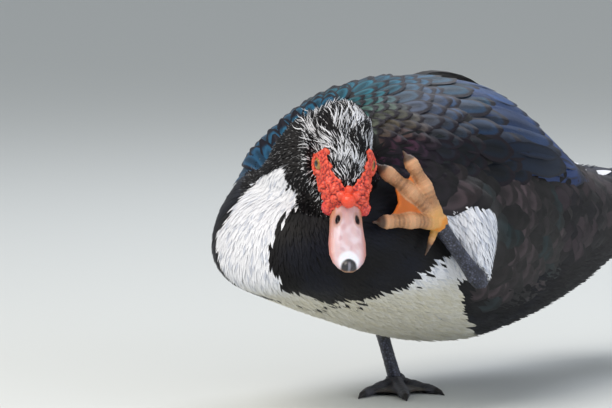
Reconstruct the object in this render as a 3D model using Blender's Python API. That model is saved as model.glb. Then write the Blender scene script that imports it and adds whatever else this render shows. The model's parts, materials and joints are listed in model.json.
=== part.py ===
# A muscovy duck at life size, standing on its right leg and scratching its head with the left foot.
# Metres, +Z up. The bird faces -Y, its own left side is +X, and the origin is on the floor under
# the standing foot. Flesh and plumage are lofts over a few named sizes; feathers are lofted vanes.
import math

import bmesh
import bpy
import numpy as np
from mathutils import Matrix, Vector

MM = 0.001
GAP = 0.3 * MM  # clearance that touching pieces keep

# Driving sizes, in millimetres
TAIL_LENGTH = 128.0
TARSUS_WIDTH = 11.0
TARSUS_DEPTH = 14.0
MIDDLE_TOE = 72.0

# Pose of the head: the point midway between the eyes, then turn, nod and tilt in degrees
HEAD_POINT = (60.0, -148.0, 182.0)
HEAD_TURN = 46.0  # to the bird's left
HEAD_NOD = 52.0  # bill below the horizon
HEAD_TILT = -2.0

# Pose of the legs
FOOT_TURN = 43.1  # standing foot, toed in
STANDING_ANKLE = (-38.9, 18.8, 60.0)
STANDING_JOINT = (-28.8, 30.8, 5.6)
RAISED_KNEE = (70.0, -28.0, 153.0)
RAISED_HOCK = (98.6, -38.8, 92.6)
RAISED_FOOT = (94.5, -86.4, 140.0)
RAISED_TIPS = ((75.4, -135.5, 142.5), (66.5, -121.5, 183.0), (78.3, -103.6, 190.9))
RAISED_HIND = (90.0, -94.0, 116.0)


def srgb(hex_colour):
    """Linear RGBA of an sRGB hex value."""
    channels = [int(hex_colour[i : i + 2], 16) / 255 for i in (1, 3, 5)]
    return [c / 12.92 if c <= 0.04045 else ((c + 0.055) / 1.055) ** 2.4 for c in channels] + [1.0]


def material(name, hex_colour, roughness, metallic=0.0):
    made = bpy.data.materials.new(name)
    made.use_nodes = True
    shader = made.node_tree.nodes["Principled BSDF"]
    shader.inputs["Base Color"].default_value = srgb(hex_colour)
    shader.inputs["Roughness"].default_value = roughness
    shader.inputs["Metallic"].default_value = metallic
    made.diffuse_color = srgb(hex_colour)
    return made


def smooth_read(table, at):
    """Catmull-Rom reading of rows (key, value, value, ...) at a key."""
    rows = np.array(table, float)
    keys = rows[:, 0]
    at = float(np.clip(at, keys[0], keys[-1]))
    i = int(np.clip(np.searchsorted(keys, at) - 1, 0, len(keys) - 2))
    before, here = rows[max(i - 1, 0)], rows[i]
    after, beyond = rows[i + 1], rows[min(i + 2, len(rows) - 1)]
    span = keys[i + 1] - keys[i]
    t = (at - keys[i]) / span
    slope_here = (after - before) / max(after[0] - before[0], 1e-9) * span
    slope_after = (beyond - here) / max(beyond[0] - here[0], 1e-9) * span
    value = (
        (2 * t**3 - 3 * t**2 + 1) * here
        + (t**3 - 2 * t**2 + t) * slope_here
        + (-2 * t**3 + 3 * t**2) * after
        + (t**3 - t**2) * slope_after
    )
    return value[1:]


# Scene, collections and small mesh tools


def clear_scene():
    for old in list(bpy.data.objects):
        bpy.data.objects.remove(old, do_unlink=True)


def collection(name):
    made = bpy.data.collections.new(name)
    bpy.context.scene.collection.children.link(made)
    return made


def mesh_object(name, points, faces, home):
    """A mesh object from points in millimetres, with its faces turned outwards."""
    data = bpy.data.meshes.new(name)
    data.from_pydata([tuple(Vector(p) * MM) for p in points], [], faces)
    work = bmesh.new()
    work.from_mesh(data)
    bmesh.ops.recalc_face_normals(work, faces=work.faces)
    work.to_mesh(data)
    work.free()
    made = bpy.data.objects.new(name, data)
    home.objects.link(made)
    return made


def skin_rings(rings):
    """Points and faces of a closed skin through rings of equal counts, with a fan at each end."""
    count = len(rings[0])
    points = [p for ring in rings for p in ring]
    faces = []
    for i in range(len(rings) - 1):
        for j in range(count):
            k = (j + 1) % count
            faces.append((i * count + j, i * count + k, (i + 1) * count + k, (i + 1) * count + j))
    for ring, start in ((rings[0], 0), (rings[-1], (len(rings) - 1) * count)):
        centre = len(points)
        points.append(sum((Vector(p) for p in ring), Vector()) / count)
        faces += [(centre, start + j, start + (j + 1) % count) for j in range(count)]
    return points, faces


def shape_pair(angle, power):
    """Cosine and sine of a superellipse."""
    c, s = math.cos(angle), math.sin(angle)
    return math.copysign(abs(c) ** (2 / power), c), math.copysign(abs(s) ** (2 / power), s)


def frame_along(tangent, up):
    """Side and up vectors square to a tangent."""
    tangent = tangent.normalized()
    side = tangent.cross(up)
    if side.length < 1e-6:
        side = tangent.cross(Vector((1, 0, 0)))
    side.normalize()
    return side, side.cross(tangent).normalized()


def tube_rings(table, sides, steps, up=(0, 0, 1), power=2.0):
    """Rings square to a smooth path. Rows are (t, x, y, z, half width, half height)."""
    up = Vector(up)
    first, last = table[0][0], table[-1][0]
    rings = []
    for i in range(steps + 1):
        t = first + (last - first) * i / steps
        here = smooth_read(table, t)
        ahead = smooth_read(table, t + 0.01 * (last - first))
        behind = smooth_read(table, t - 0.01 * (last - first))
        side, lift = frame_along(Vector(ahead[:3] - behind[:3]), up)
        ring = []
        for j in range(sides):
            c, s = shape_pair(2 * math.pi * j / sides, power)
            ring.append(Vector(here[:3]) + side * c * here[3] + lift * s * here[4])
        rings.append(ring)
    return rings


def tube(name, table, sides, steps, home, up=(0, 0, 1), power=2.0):
    points, faces = skin_rings(tube_rings(table, sides, steps, up, power))
    return mesh_object(name, points, faces, home)


def ball(name, centre, radii, home, subdivisions=1, turn=None):
    """A faceted ball or egg of the given half axes in millimetres."""
    work = bmesh.new()
    bmesh.ops.create_icosphere(work, subdivisions=subdivisions, radius=1.0)
    data = bpy.data.meshes.new(name)
    work.to_mesh(data)
    work.free()
    spin = turn.to_4x4() if turn else Matrix.Identity(4)
    data.transform(
        Matrix.Translation(Vector(centre) * MM)
        @ spin
        @ Matrix.Diagonal([r * MM for r in radii] + [1.0])
    )
    made = bpy.data.objects.new(name, data)
    home.objects.link(made)
    return made


def vane(name, path, normals, width, thickness, home, profile, roll=0.0):
    """A flat feather along a path: four corners a section, split alike on both faces.

    Rolled about its own length, so that each of a row overlaps the next like a shingle.
    """
    count = len(path)
    points, faces = [], []
    for i, (p, n) in enumerate(zip(path, normals)):
        t = i / (count - 1)
        ahead = path[min(i + 1, count - 1)] - path[max(i - 1, 0)]
        side = Matrix.Rotation(roll, 3, ahead) @ ahead.cross(n).normalized()
        lift = side.cross(ahead).normalized()
        half, thick = width / 2 * profile(t), thickness * (1 - 0.55 * t)
        for across, up in ((-1, -1), (1, -1), (1, 1), (-1, 1)):
            points.append(p + side * across * half + lift * (up * thick / 2))
    for i in range(count - 1):
        a, b = 4 * i, 4 * (i + 1)
        # the under face and the upper face take the same diagonal
        faces += [(a, b + 1, a + 1), (a, b, b + 1)]
        faces += [(a + 3, a + 2, b + 2), (a + 3, b + 2, b + 3)]
        faces += [(a + 1, b + 1, b + 2), (a + 1, b + 2, a + 2)]
        faces += [(a, a + 3, b + 3), (a, b + 3, b)]
    e = 4 * (count - 1)
    faces += [(0, 1, 2), (0, 2, 3), (e, e + 2, e + 1), (e, e + 3, e + 2)]
    return mesh_object(name, points, faces, home)


def slab(name, outer, inner, rows, columns, home):
    """A closed plate between two grids of points, row by row."""
    total = len(outer)
    faces = []
    for i in range(rows - 1):
        for j in range(columns - 1):
            a, b = i * columns + j, i * columns + j + 1
            c, d = b + columns, a + columns
            faces += [(a, b, c), (a, c, d)]
            faces += [(total + a, total + c, total + b), (total + a, total + d, total + c)]
    rim = list(range(columns))
    rim += [i * columns + columns - 1 for i in range(1, rows)]
    rim += [(rows - 1) * columns + j for j in range(columns - 2, -1, -1)]
    rim += [i * columns for i in range(rows - 2, 0, -1)]
    for a, b in zip(rim, rim[1:] + rim[:1]):
        faces += [(a, b, total + b), (a, total + b, total + a)]
    return mesh_object(name, outer + inner, faces, home)


def round_tip(t):
    """Width of a broad feather along its length, as a share of its greatest width."""
    base = min(1.0, 0.55 + 1.1 * t)
    if t <= 0.62:
        return base
    return base * max(0.22, math.sqrt(max(0.0, 1 - ((t - 0.62) / 0.38) ** 2)))


def pointed_tip(t):
    """Width of a narrow lock along its length."""
    return (0.6 + 0.8 * t) * (1 - t**2.2) + 0.10


def settle(obj):
    """Applies the modifiers and keeps the largest closed surface."""
    graph = bpy.context.evaluated_depsgraph_get()
    data = bpy.data.meshes.new_from_object(obj.evaluated_get(graph))
    obj.modifiers.clear()
    old, obj.data = obj.data, data
    bpy.data.meshes.remove(old)
    work = bmesh.new()
    work.from_mesh(data)
    groups, seen = [], set()
    for start in work.verts:
        if start in seen:
            continue
        group, todo = [], [start]
        seen.add(start)
        while todo:
            v = todo.pop()
            group.append(v)
            for edge in v.link_edges:
                other = edge.other_vert(v)
                if other not in seen:
                    seen.add(other)
                    todo.append(other)
        groups.append(group)

    def spread(group):
        corners = [[f(v.co[i] for v in group) for i in range(3)] for f in (min, max)]
        return (Vector(corners[1]) - Vector(corners[0])).length

    if len(groups) > 1:
        groups.sort(key=spread)
        bmesh.ops.delete(work, geom=[v for g in groups[:-1] for v in g], context="VERTS")
    bmesh.ops.triangulate(work, faces=work.faces)
    work.to_mesh(data)
    work.free()
    return obj


def unite(base, pieces, solver="MANIFOLD"):
    """Joins a collection of closed pieces to a base and removes them."""
    joint = base.modifiers.new("join", "BOOLEAN")
    joint.operation, joint.operand_type = "UNION", "COLLECTION"
    joint.collection, joint.solver = pieces, solver
    settle(base)
    for piece in list(pieces.objects):
        bpy.data.objects.remove(piece, do_unlink=True)
    bpy.data.collections.remove(pieces)
    return base


def cut_clear(obj, others, gap=GAP, solver="MANIFOLD"):
    """Cuts an object clear of others by the gap."""
    for other in others:
        cutter = other.copy()
        cutter.data = other.data.copy()
        CUTTERS.objects.link(cutter)
        cutter.hide_render, cutter.display_type = True, "WIRE"
        swell = cutter.modifiers.new("swell", "DISPLACE")
        swell.strength, swell.mid_level = gap, 0.0
        bite = obj.modifiers.new("clear", "BOOLEAN")
        bite.operation, bite.object, bite.solver = "DIFFERENCE", cutter, solver
        bpy.context.view_layer.update()
        settle(obj)
        bpy.data.objects.remove(cutter, do_unlink=True)
    return obj


def finish(obj, look, smooth=True):
    obj.data.materials.clear()
    obj.data.materials.append(look)
    if smooth:
        obj.data.shade_smooth()
        obj.data.set_sharp_from_angle(angle=math.radians(40))
    return obj


clear_scene()
PARTS = collection("muscovy_duck")
CUTTERS = collection("cutters")

# Torso and rump: rows are (y, half width, top, bottom, height of the widest level, middle x)
TORSO = (
    (-180, 6, 123, 109, 116, 0),
    (-177, 24, 136, 98, 116, 0),
    (-168, 42, 150, 89, 116, 0),
    (-150, 60, 167, 84, 118, 0),
    (-125, 74, 184, 76, 120, 0),
    (-95, 84, 199, 66, 122, 0),
    (-55, 90, 215, 54, 127, 0),
    (-10, 92, 224, 42, 130, 0),
    (40, 90, 220, 36, 131, 0),
    (90, 83, 203, 40, 130, 0),
    (140, 71, 181, 48, 128, 0),
    (185, 57, 163, 58, 123, 0),
    (220, 46, 154, 69, 120, 0),
    (250, 37, 152, 82, 121, 0),
    (275, 28, 151, 96, 125, 0),
    (290, 18, 148, 110, 130, 0),
    (297, 8, 143, 122, 132, 0),
)
TORSO_POWER = 2.15
BELLY_POWER = 2.0
TORSO_SIDES = 28
TAIL_CUT = 228.0  # the tail's node begins here


def torso_point(y, angle, lift=0.0):
    """A point of the torso's surface at a station and an angle from the left side, in millimetres."""
    half, top, bottom, middle, x = smooth_read(TORSO, y)
    c, s = shape_pair(angle, TORSO_POWER if math.sin(angle) >= 0 else BELLY_POWER)
    high = (top - middle) if s >= 0 else (middle - bottom)
    point = Vector((x + half * c, y, middle + high * s))
    if not lift:
        return point
    return point + torso_normal(y, angle) * lift


def torso_normal(y, angle):
    step_y, step_a = 1.0, math.radians(1.5)
    along = torso_point(y + step_y, angle) - torso_point(y - step_y, angle)
    around = torso_point(y, angle + step_a) - torso_point(y, angle - step_a)
    return along.cross(around).normalized()


def torso_rings(stations):
    return [
        [torso_point(y, 2 * math.pi * j / TORSO_SIDES) for j in range(TORSO_SIDES)]
        for y in stations
    ]


def make_torso():
    front = [-180, -176, -167, -154, -138]
    rear = list(np.linspace(-118, TAIL_CUT, 13))
    points, faces = skin_rings(torso_rings(front + rear))
    return mesh_object("torso", points, faces, PARTS)


# Neck: folded short, swinging to the bird's left into the back of the head
NECK = (
    (0.0, 2, -78, 146, 46, 46),
    (0.3, -3, -104, 162, 39, 38),
    (0.6, 4, -126, 178, 33, 34),
    (0.85, 22, -138, 187, 29, 31),
    (1.0, 41, -141, 188, 25, 28),
)

HEAD_MATRIX = (
    Matrix.Translation(Vector(HEAD_POINT))
    @ Matrix.Rotation(math.radians(HEAD_TURN), 4, "Z")
    @ Matrix.Rotation(math.radians(-HEAD_TILT), 4, "Y")
    @ Matrix.Rotation(math.radians(HEAD_NOD), 4, "X")
)

# Head in its own frame, bill towards -Y: rows are (y, half width, top, bottom, widest level)
HEAD = (
    (-34, 9, 0, -15, -7),
    (-31, 11, 3, -18, -7),
    (-24, 13, 9, -21, -6),
    (-12, 16.5, 17, -24, -3),
    (0, 19.0, 23, -26, -1),
    (12, 20.5, 25, -26, -1),
    (22, 19.5, 24, -23, 0),
    (32, 15.5, 20, -16, 2),
    (39, 8.5, 14, -6, 4),
    (41, 3.0, 8, 1, 5),
)
HEAD_POWER = 2.1

# Upper bill: rows are (y, half width, top, tomium, widest level)
BILL = (
    (-77.5, 3.6, -13.4, -17.0, -15.2),
    (-75, 7.6, -12.0, -16.8, -14.6),
    (-71, 10.9, -10.8, -16.2, -14.2),
    (-65, 13.0, -9.4, -15.6, -13.8),
    (-56, 13.2, -7.6, -15.0, -13.4),
    (-46, 12.0, -4.5, -14.2, -12.6),
    (-36, 11.2, 0.5, -13.0, -11.5),
    (-27, 10.6, 4.5, -12.0, -10.5),
)
NAIL_SPOT = Vector((0.0, -73.0, -13.0))
NAIL_RADII = (4.8, 5.4, 3.4)


def head_local(table, y, angle, power=HEAD_POWER):
    half, top, bottom, middle = smooth_read(table, y)
    c, s = shape_pair(angle, power)
    high = (top - middle) if s >= 0 else (middle - bottom)
    return Vector((half * c, y, middle + high * s))


def head_normal(y, angle):
    along = head_local(HEAD, y + 0.5, angle) - head_local(HEAD, y - 0.5, angle)
    around = head_local(HEAD, y, angle + 0.03) - head_local(HEAD, y, angle - 0.03)
    return along.cross(around).normalized()


def head_spot(y, degrees, lift=0.0):
    """A point on the head's surface in its own frame. 0 degrees is its left side, 90 the crown."""
    angle = math.radians(degrees)
    point = head_local(HEAD, y, angle)
    return point + head_normal(y, angle) * lift if lift else point


def head_loft(name, table, stations, sides, home, power=HEAD_POWER):
    rings = [
        [HEAD_MATRIX @ head_local(table, y, 2 * math.pi * j / sides, power) for j in range(sides)]
        for y in stations
    ]
    points, faces = skin_rings(rings)
    return mesh_object(name, points, faces, home)


EYE_SPOT = Vector((15.3, 0.0, 1.5))
EYE_RADIUS = 6.0
SOCKET_RADIUS = 6.9  # to the corners of its facets, so their middles still clear the eye


def make_eyes():
    """The two eyeballs, and the plain balls that cut their sockets."""
    sockets = []
    for side, name in ((1, "eye_left"), (-1, "eye_right")):
        centre = HEAD_MATRIX @ Vector((side * EYE_SPOT.x, EYE_SPOT.y, EYE_SPOT.z))
        ball(name, centre, [EYE_RADIUS] * 3, PARTS, subdivisions=3)
        socket = ball("socket", centre, [SOCKET_RADIUS] * 3, CUTTERS, subdivisions=2)
        socket.hide_render, socket.display_type = True, "WIRE"
        sockets.append(socket)
    return sockets


# Crest: rows across the crown, from the forehead to the nape, of locks that lie back and lift
CREST_ROWS = (
    # head y, angles from the left side, length, lift of the tip
    (-17, (90,), 13, 1.0),
    (-11, (70, 110), 16, 1.2),
    (-3, (54, 78, 102, 126), 18, 2.0),
    (6, (38, 64, 90, 116, 142), 19, 3.0),
    (14, (24, 50, 77, 103, 130, 156), 20, 4.0),
    (23, (36, 64, 90, 116, 144), 19, 3.6),
    (31, (50, 78, 104, 132), 14, 3.6),
)
CREST_WIDTH = 7.2
CREST_THICKNESS = 1.5


def crest_lock(y, degrees, length, lift, home):
    path, normals = [], []
    steps = 3
    for i in range(steps + 1):
        t = i / steps
        at = min(y + length * t, 40.0)
        beyond = max(0.0, y + length * t - 40.0)
        spot = head_spot(at, degrees, -1.6 + 2.2 * t + lift * t**1.6)
        spot += Vector((0, beyond, 0))
        path.append(HEAD_MATRIX @ spot)
        normals.append(HEAD_MATRIX.to_3x3() @ head_normal(at, math.radians(degrees)))
    return vane("lock", path, normals, CREST_WIDTH, CREST_THICKNESS, home, pointed_tip)


def make_head(sockets):
    """The head with its crest, and its plain form to cut neighbours with."""
    head = head_loft("head", HEAD, [r[0] for r in HEAD], 18, PARTS)
    core = head.copy()
    core.data = head.data.copy()
    CUTTERS.objects.link(core)
    core.name, core.hide_render, core.display_type = "head_core", True, "WIRE"
    locks = collection("crest_locks")
    for y, angles, length, lift in CREST_ROWS:
        for degrees in angles:
            crest_lock(y, degrees, length, lift, locks)
    unite(head, locks)
    return cut_clear(head, sockets, 0.0), core


def make_bill(core):
    stations = [-27, -36, -46, -56, -65, -71, -75, -77.5]
    upper = head_loft("bill_upper", BILL, stations, 16, PARTS, power=2.3)
    nostrils = collection("nostril_cutters")
    for side in (1, -1):
        turn = (HEAD_MATRIX.to_3x3() @ Matrix.Rotation(math.radians(18), 3, "X")).to_quaternion()
        spot = HEAD_MATRIX @ Vector((side * 6.8, -42.0, -4.4))
        pit = ball("nostril", spot, (1.6, 3.6, 2.4), nostrils, 1, turn.to_matrix())
        pit.hide_render, pit.display_type = True, "WIRE"
        bite = upper.modifiers.new("nostril", "BOOLEAN")
        bite.operation, bite.object, bite.solver = "DIFFERENCE", pit, "MANIFOLD"
    bpy.context.view_layer.update()
    settle(upper)
    for pit in list(nostrils.objects):
        bpy.data.objects.remove(pit, do_unlink=True)
    bpy.data.collections.remove(nostrils)

    nail = collection("bill_nail")
    ball("nail", HEAD_MATRIX @ NAIL_SPOT, NAIL_RADII, nail, 2, HEAD_MATRIX.to_3x3())
    unite(upper, nail)

    # The lower bill lies inside the rim of the upper one and shows as the line of the mouth
    jaw = [(y, w - 1.4, tomium + 1.5, tomium - 5.6 + 0.055 * (-27 - y), tomium - 0.8)
           for y, w, top, tomium, mid in BILL[1:]]
    jaw[0] = (-74.5, 4.2, jaw[0][2], jaw[0][3] + 0.6, jaw[0][4])
    lower = head_loft("bill_lower", jaw, [-27, -40, -52, -63, -70, -74.5], 14, PARTS)
    cut_clear(upper, [core])
    cut_clear(lower, [core, upper])
    return upper, lower


# Red skin of the face: rows are (head y, lowest angle, highest angle) on the head's left side
FACE_MASK = (
    (-33.5, -44, 93),
    (-29, -42, 93),
    (-26, -38, 88),
    (-22, -30, 72),
    (-17, -24, 57),
    (-11, -27, 45),
    (-4, -33, 42),
    (4, -33, 42),
    (10, -24, 32),
    (14, -6, 14),
)
MASK_LIFT = 1.2
BULBS = (
    # head y, degrees, radius, how far it is sunk
    (-9, 42, 3.3, 1.2),
    (1, 41, 3.3, 1.2),
    (10, 28, 3.0, 1.1),
    (10, -12, 3.0, 1.1),
    (2, -30, 3.1, 1.1),
    (-7, -27, 3.2, 1.1),
    (-13, -3, 3.5, 1.2),
    (-16, 36, 3.8, 1.2),
    (-20, 8, 3.9, 1.2),
    (-19, -18, 3.4, 1.2),
    (-22, 57, 3.9, 1.0),
    (-25, 29, 4.3, 1.0),
    (-28, 72, 3.9, 0.8),
    (-30, 48, 4.1, 0.8),
    (-30, 16, 4.2, 0.9),
    (-29.5, -20, 5.4, 1.4),
)
KNOB = ((-31, 90, 5.6, 0.0), (-26.5, 90, 4.4, 0.4))


def face_patch(name, side, home):
    """A band of thick skin over one side of the face."""
    outer, inner = [], []
    columns = 4
    for y, low, high in FACE_MASK:
        for j in range(columns + 1):
            degrees = low + (high - low) * j / columns
            for found, lift in ((outer, MASK_LIFT), (inner, -2.0)):
                p = head_spot(y, degrees, lift)
                found.append(HEAD_MATRIX @ Vector((side * p.x, p.y, p.z)))
    return slab(name, outer, inner, len(FACE_MASK), columns + 1, home)


LID_OUT = 4.6  # from the eye's middle out to the plane of the rim
LID_LONG, LID_TALL = 5.9, 4.9  # half axes of the rim
LID_THICK = 1.3
LID_STEPS, LID_SIDES = 12, 4


def lid_rim(side, home):
    """The rim of the eyelids: a small ring round the eye."""
    turn = HEAD_MATRIX.to_3x3()
    out = (turn @ Vector((side, 0, 0.1))).normalized()
    along = (turn @ Vector((0, 1, 0))).normalized()
    lift = out.cross(along).normalized()
    middle = HEAD_MATRIX @ Vector((side * EYE_SPOT.x, EYE_SPOT.y, EYE_SPOT.z)) + out * LID_OUT
    path = []
    for i in range(LID_STEPS):
        a = 2 * math.pi * i / LID_STEPS
        path.append(middle + along * LID_LONG * math.cos(a) + lift * LID_TALL * math.sin(a))
    points, faces = [], []
    for i, p in enumerate(path):
        ahead = (path[(i + 1) % LID_STEPS] - path[i - 1]).normalized()
        outward = (p - middle).normalized()
        lifted = ahead.cross(outward)
        for j in range(LID_SIDES):
            b = 2 * math.pi * j / LID_SIDES
            points.append(p + (outward * math.cos(b) + lifted * math.sin(b)) * LID_THICK)
            a, k = i * LID_SIDES, (i + 1) % LID_STEPS * LID_SIDES
            n = (j + 1) % LID_SIDES
            faces.append((a + j, a + n, k + n, k + j))
    return mesh_object("lid", points, faces, home)


def make_caruncles(head, core, sockets, bills):
    bulbs = collection("caruncle_bulbs")
    base = face_patch("caruncles", 1, PARTS)
    face_patch("mask_right", -1, bulbs)
    spots = [(row, side) for side in (1, -1) for row in BULBS] + [(row, 1) for row in KNOB]
    for (y, degrees, radius, sunk), side in spots:
        local = head_spot(y, degrees, -sunk)
        centre = HEAD_MATRIX @ Vector((side * local.x, local.y, local.z))
        ball("bulb", centre, [radius] * 3, bulbs, 1)
    for side in (1, -1):
        lid_rim(side, bulbs)
    unite(base, bulbs)
    cut_clear(base, [core], GAP + 0.05 * MM)
    cut_clear(base, sockets, 0.0)
    return cut_clear(base, [head, *bills])


def make_neck(others):
    neck = tube("neck", NECK, 20, 10, PARTS)
    return cut_clear(neck, others)


# Legs
def tarsus_table(top, foot, flare):
    """From the hock to the ankle above the toes."""
    top, foot = Vector(top), Vector(foot)
    rows = []
    for t, wide, deep in (
        (0.0, 0.92, 0.95), (0.12, 1.12, 1.10), (0.3, 0.92, 0.92), (0.7, 0.88, 0.86), (1.0, flare, flare),
    ):
        p = top.lerp(foot, t)
        rows.append((t, p.x, p.y, p.z, TARSUS_WIDTH / 2 * wide, TARSUS_DEPTH / 2 * deep))
    return rows


TOES = (
    # name, spread from the middle toe towards the inner side, length, radius at the root
    ("second", 36.0, 0.74, 5.3),
    ("third", 0.0, 1.0, 5.7),
    ("fourth", -31.0, 0.91, 5.4),
)
HIND_TOE = 23.0
CLAW = 9.0
WEB_THICKNESS = 1.8


def toe(name, root, tip, radius, home, up, claw_drop=2.0, steps=11, arch=0.0):
    """One toe with swollen joint pads and a claw, from root to claw tip."""
    root, tip = Vector(root), Vector(tip)
    length = (tip - root).length
    claw_start = 1 - CLAW / length
    rows = []
    for t, share in (
        (0.0, 1.0), (0.14, 0.96), (0.33, 0.80), (0.48, 0.90), (0.64, 0.70), (0.82, 0.80), (0.96, 0.60),
    ):
        p = root.lerp(tip, t * claw_start) + up * arch * math.sin(math.pi * t)
        rows.append((t * claw_start, p.x, p.y, p.z, radius * share, radius * share * 0.95))
    p = root.lerp(tip, claw_start + 0.3 * CLAW / length)
    rows.append((claw_start + 0.3 * CLAW / length, p.x, p.y, p.z, radius * 0.42, radius * 0.45))
    p = tip - up * claw_drop
    rows.append((1.0, p.x, p.y, p.z, radius * 0.10, radius * 0.10))
    return tube(name, rows, 8, steps, home, up=tuple(up))


def web(name, root, tip_a, tip_b, up, home, reach_a, reach_b, arch):
    """The skin between two toes: a thin plate with a hollow front edge."""
    rows_long, rows_wide = 5, 4
    upper, lower = [], []
    for i in range(rows_long + 1):
        s = 0.08 + (1 - 0.08) * i / rows_long
        a, b = root.lerp(tip_a, reach_a * s), root.lerp(tip_b, reach_b * s)
        for j in range(rows_wide + 1):
            u = j / rows_wide
            p = a.lerp(b, u)
            hollow = 0.20 * s * math.sin(math.pi * u)
            p = p + (root - p) * hollow + up * arch * math.sin(math.pi * min(1.0, s * reach_a))
            upper.append(p + up * WEB_THICKNESS / 2)
            lower.append(p - up * WEB_THICKNESS / 2)
    return slab(name, upper, lower, rows_long + 1, rows_wide + 1, home)


def make_foot(name, joint, tips, hind_tip, up, home_pieces, radii, arch, cut_floor):
    """Toes, webs and hind toe joined to the ball of the foot."""
    joint = Vector(joint)
    foot = ball(name, joint, (8.2, 8.2, 7.6), PARTS, 2)
    second, third, fourth = (Vector(t) for t in tips)
    for tip, radius in zip((second, third, fourth), radii):
        toe("toe", joint.lerp(tip, 0.02), tip, radius, home_pieces, up, arch=arch)
    toe("hind", joint + up * 1.0, hind_tip, 3.4, home_pieces, up, claw_drop=1.0, steps=6)
    web("inner_web", joint, second, third, up, home_pieces, 0.84, 0.78, arch)
    web("outer_web", joint, third, fourth, up, home_pieces, 0.78, 0.84, arch)
    unite(foot, home_pieces)
    if cut_floor:
        bpy.ops.mesh.primitive_cube_add(size=0.4, location=(0, 0, -0.2))
        ground = bpy.context.object
        ground.hide_render, ground.display_type = True, "WIRE"
        bite = foot.modifiers.new("floor", "BOOLEAN")
        bite.operation, bite.object, bite.solver = "DIFFERENCE", ground, "MANIFOLD"
        bpy.context.view_layer.update()
        settle(foot)
        bpy.data.objects.remove(ground, do_unlink=True)
    return foot


def make_legs(torso):
    # Standing leg
    heading, joint = math.radians(FOOT_TURN), Vector(STANDING_JOINT)

    def on_floor(spread, reach, height):
        a = heading + math.radians(spread)
        return Vector((joint.x + reach * math.sin(a), joint.y - reach * math.cos(a), height))

    tips = [on_floor(spread, MIDDLE_TOE * share, radius * 0.42) for _, spread, share, radius in TOES]
    hind = on_floor(158, HIND_TOE, 0.6)
    foot_right = make_foot(
        "foot_right", joint, tips, hind, Vector((0, 0, 1)), collection("right_toes"),
        [row[3] for row in TOES], 0.0, True,
    )
    facing = (math.sin(heading), -math.cos(heading), 0)
    tarsus_right = tube(
        "tarsus_right", tarsus_table(STANDING_ANKLE, joint, 1.0), 12, 8, PARTS, up=facing,
    )
    cut_clear(tarsus_right, [torso])
    cut_clear(foot_right, [tarsus_right])

    # Raised leg, folded up beside the head
    joint = Vector(RAISED_FOOT)
    tips = [Vector(t) for t in RAISED_TIPS]
    sole = (tips[2] - joint).cross(tips[0] - joint).normalized()
    foot_left = make_foot(
        "foot_left", joint, tips, Vector(RAISED_HIND), sole, collection("left_toes"),
        [row[3] for row in TOES], 5.0, False,
    )
    tarsus_left = tube("tarsus_left", tarsus_table(RAISED_HOCK, joint, 1.0), 12, 8, PARTS, up=tuple(sole))
    knee, hock = Vector(RAISED_KNEE), Vector(RAISED_HOCK)
    down = (hock - knee).normalized()
    rows = []
    for t, radius in ((-0.2, 18), (0.0, 26), (0.25, 29), (0.5, 25), (0.75, 17), (0.93, 10.5), (1.02, 7.5)):
        p = knee.lerp(hock, t)
        rows.append((t, p.x, p.y, p.z, radius * 0.86, radius))
    thigh_left = tube("thigh_left", rows, 16, 10, PARTS, up=(0.2, -0.8, 0.3))
    cut_clear(thigh_left, [torso, tarsus_left])
    cut_clear(foot_left, [tarsus_left])
    return thigh_left


# Wings: a cushion of coverts over the side of the torso, with tiers of vanes along it
WING_FRONT, WING_REAR = -118.0, 120.0
WING_DEPTH = 5.0


def wing_band(y):
    """Lowest and highest angle of the closed wing at a station, in degrees."""
    low, high = smooth_read(
        ((-120, 36, 58), (-100, 26, 76), (-60, 24, 87), (0, 25, 88), (60, 26, 88), (120, 28, 86)), y
    )
    return low, high


def wing_point(side, y, degrees, lift):
    p = torso_point(y, math.radians(degrees), lift)
    return Vector((side * p.x, p.y, p.z))


def wing_normal(side, y, degrees):
    n = torso_normal(y, math.radians(degrees))
    return Vector((side * n.x, n.y, n.z))


def wing_cushion(name, side):
    long_steps, round_steps = 12, 8
    outer, inner = [], []
    for i in range(long_steps + 1):
        y = WING_FRONT + (WING_REAR - WING_FRONT) * i / long_steps
        low, high = wing_band(y)
        swell = math.sin(math.pi * (0.06 + 0.88 * i / long_steps)) ** 0.6
        for j in range(round_steps + 1):
            u = j / round_steps
            degrees = low + (high - low) * u
            lift = 0.75 + WING_DEPTH * swell * (0.3 + 0.7 * math.sin(math.pi * (0.08 + 0.84 * u)) ** 0.7)
            outer.append(wing_point(side, y, degrees, lift))
            inner.append(wing_point(side, y, degrees, 0.75))
    return slab(name, outer, inner, long_steps + 1, round_steps + 1, PARTS)


def wing_vane(side, start, end, lifts, width, steps, home):
    """A vane along the wing from start to end, each (y, degrees), at heights over the torso."""
    path, normals = [], []
    for i in range(steps + 1):
        t = i / steps
        y = start[0] + (end[0] - start[0]) * t
        degrees = start[1] + (end[1] - start[1]) * (t**1.15)
        lift = lifts[0] + (lifts[1] - lifts[0]) * t
        path.append(wing_point(side, y, degrees, lift))
        normals.append(wing_normal(side, y, degrees))
    return vane("vane", path, normals, width, WING_VANE_THICKNESS, home, round_tip, side * WING_VANE_ROLL)


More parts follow.
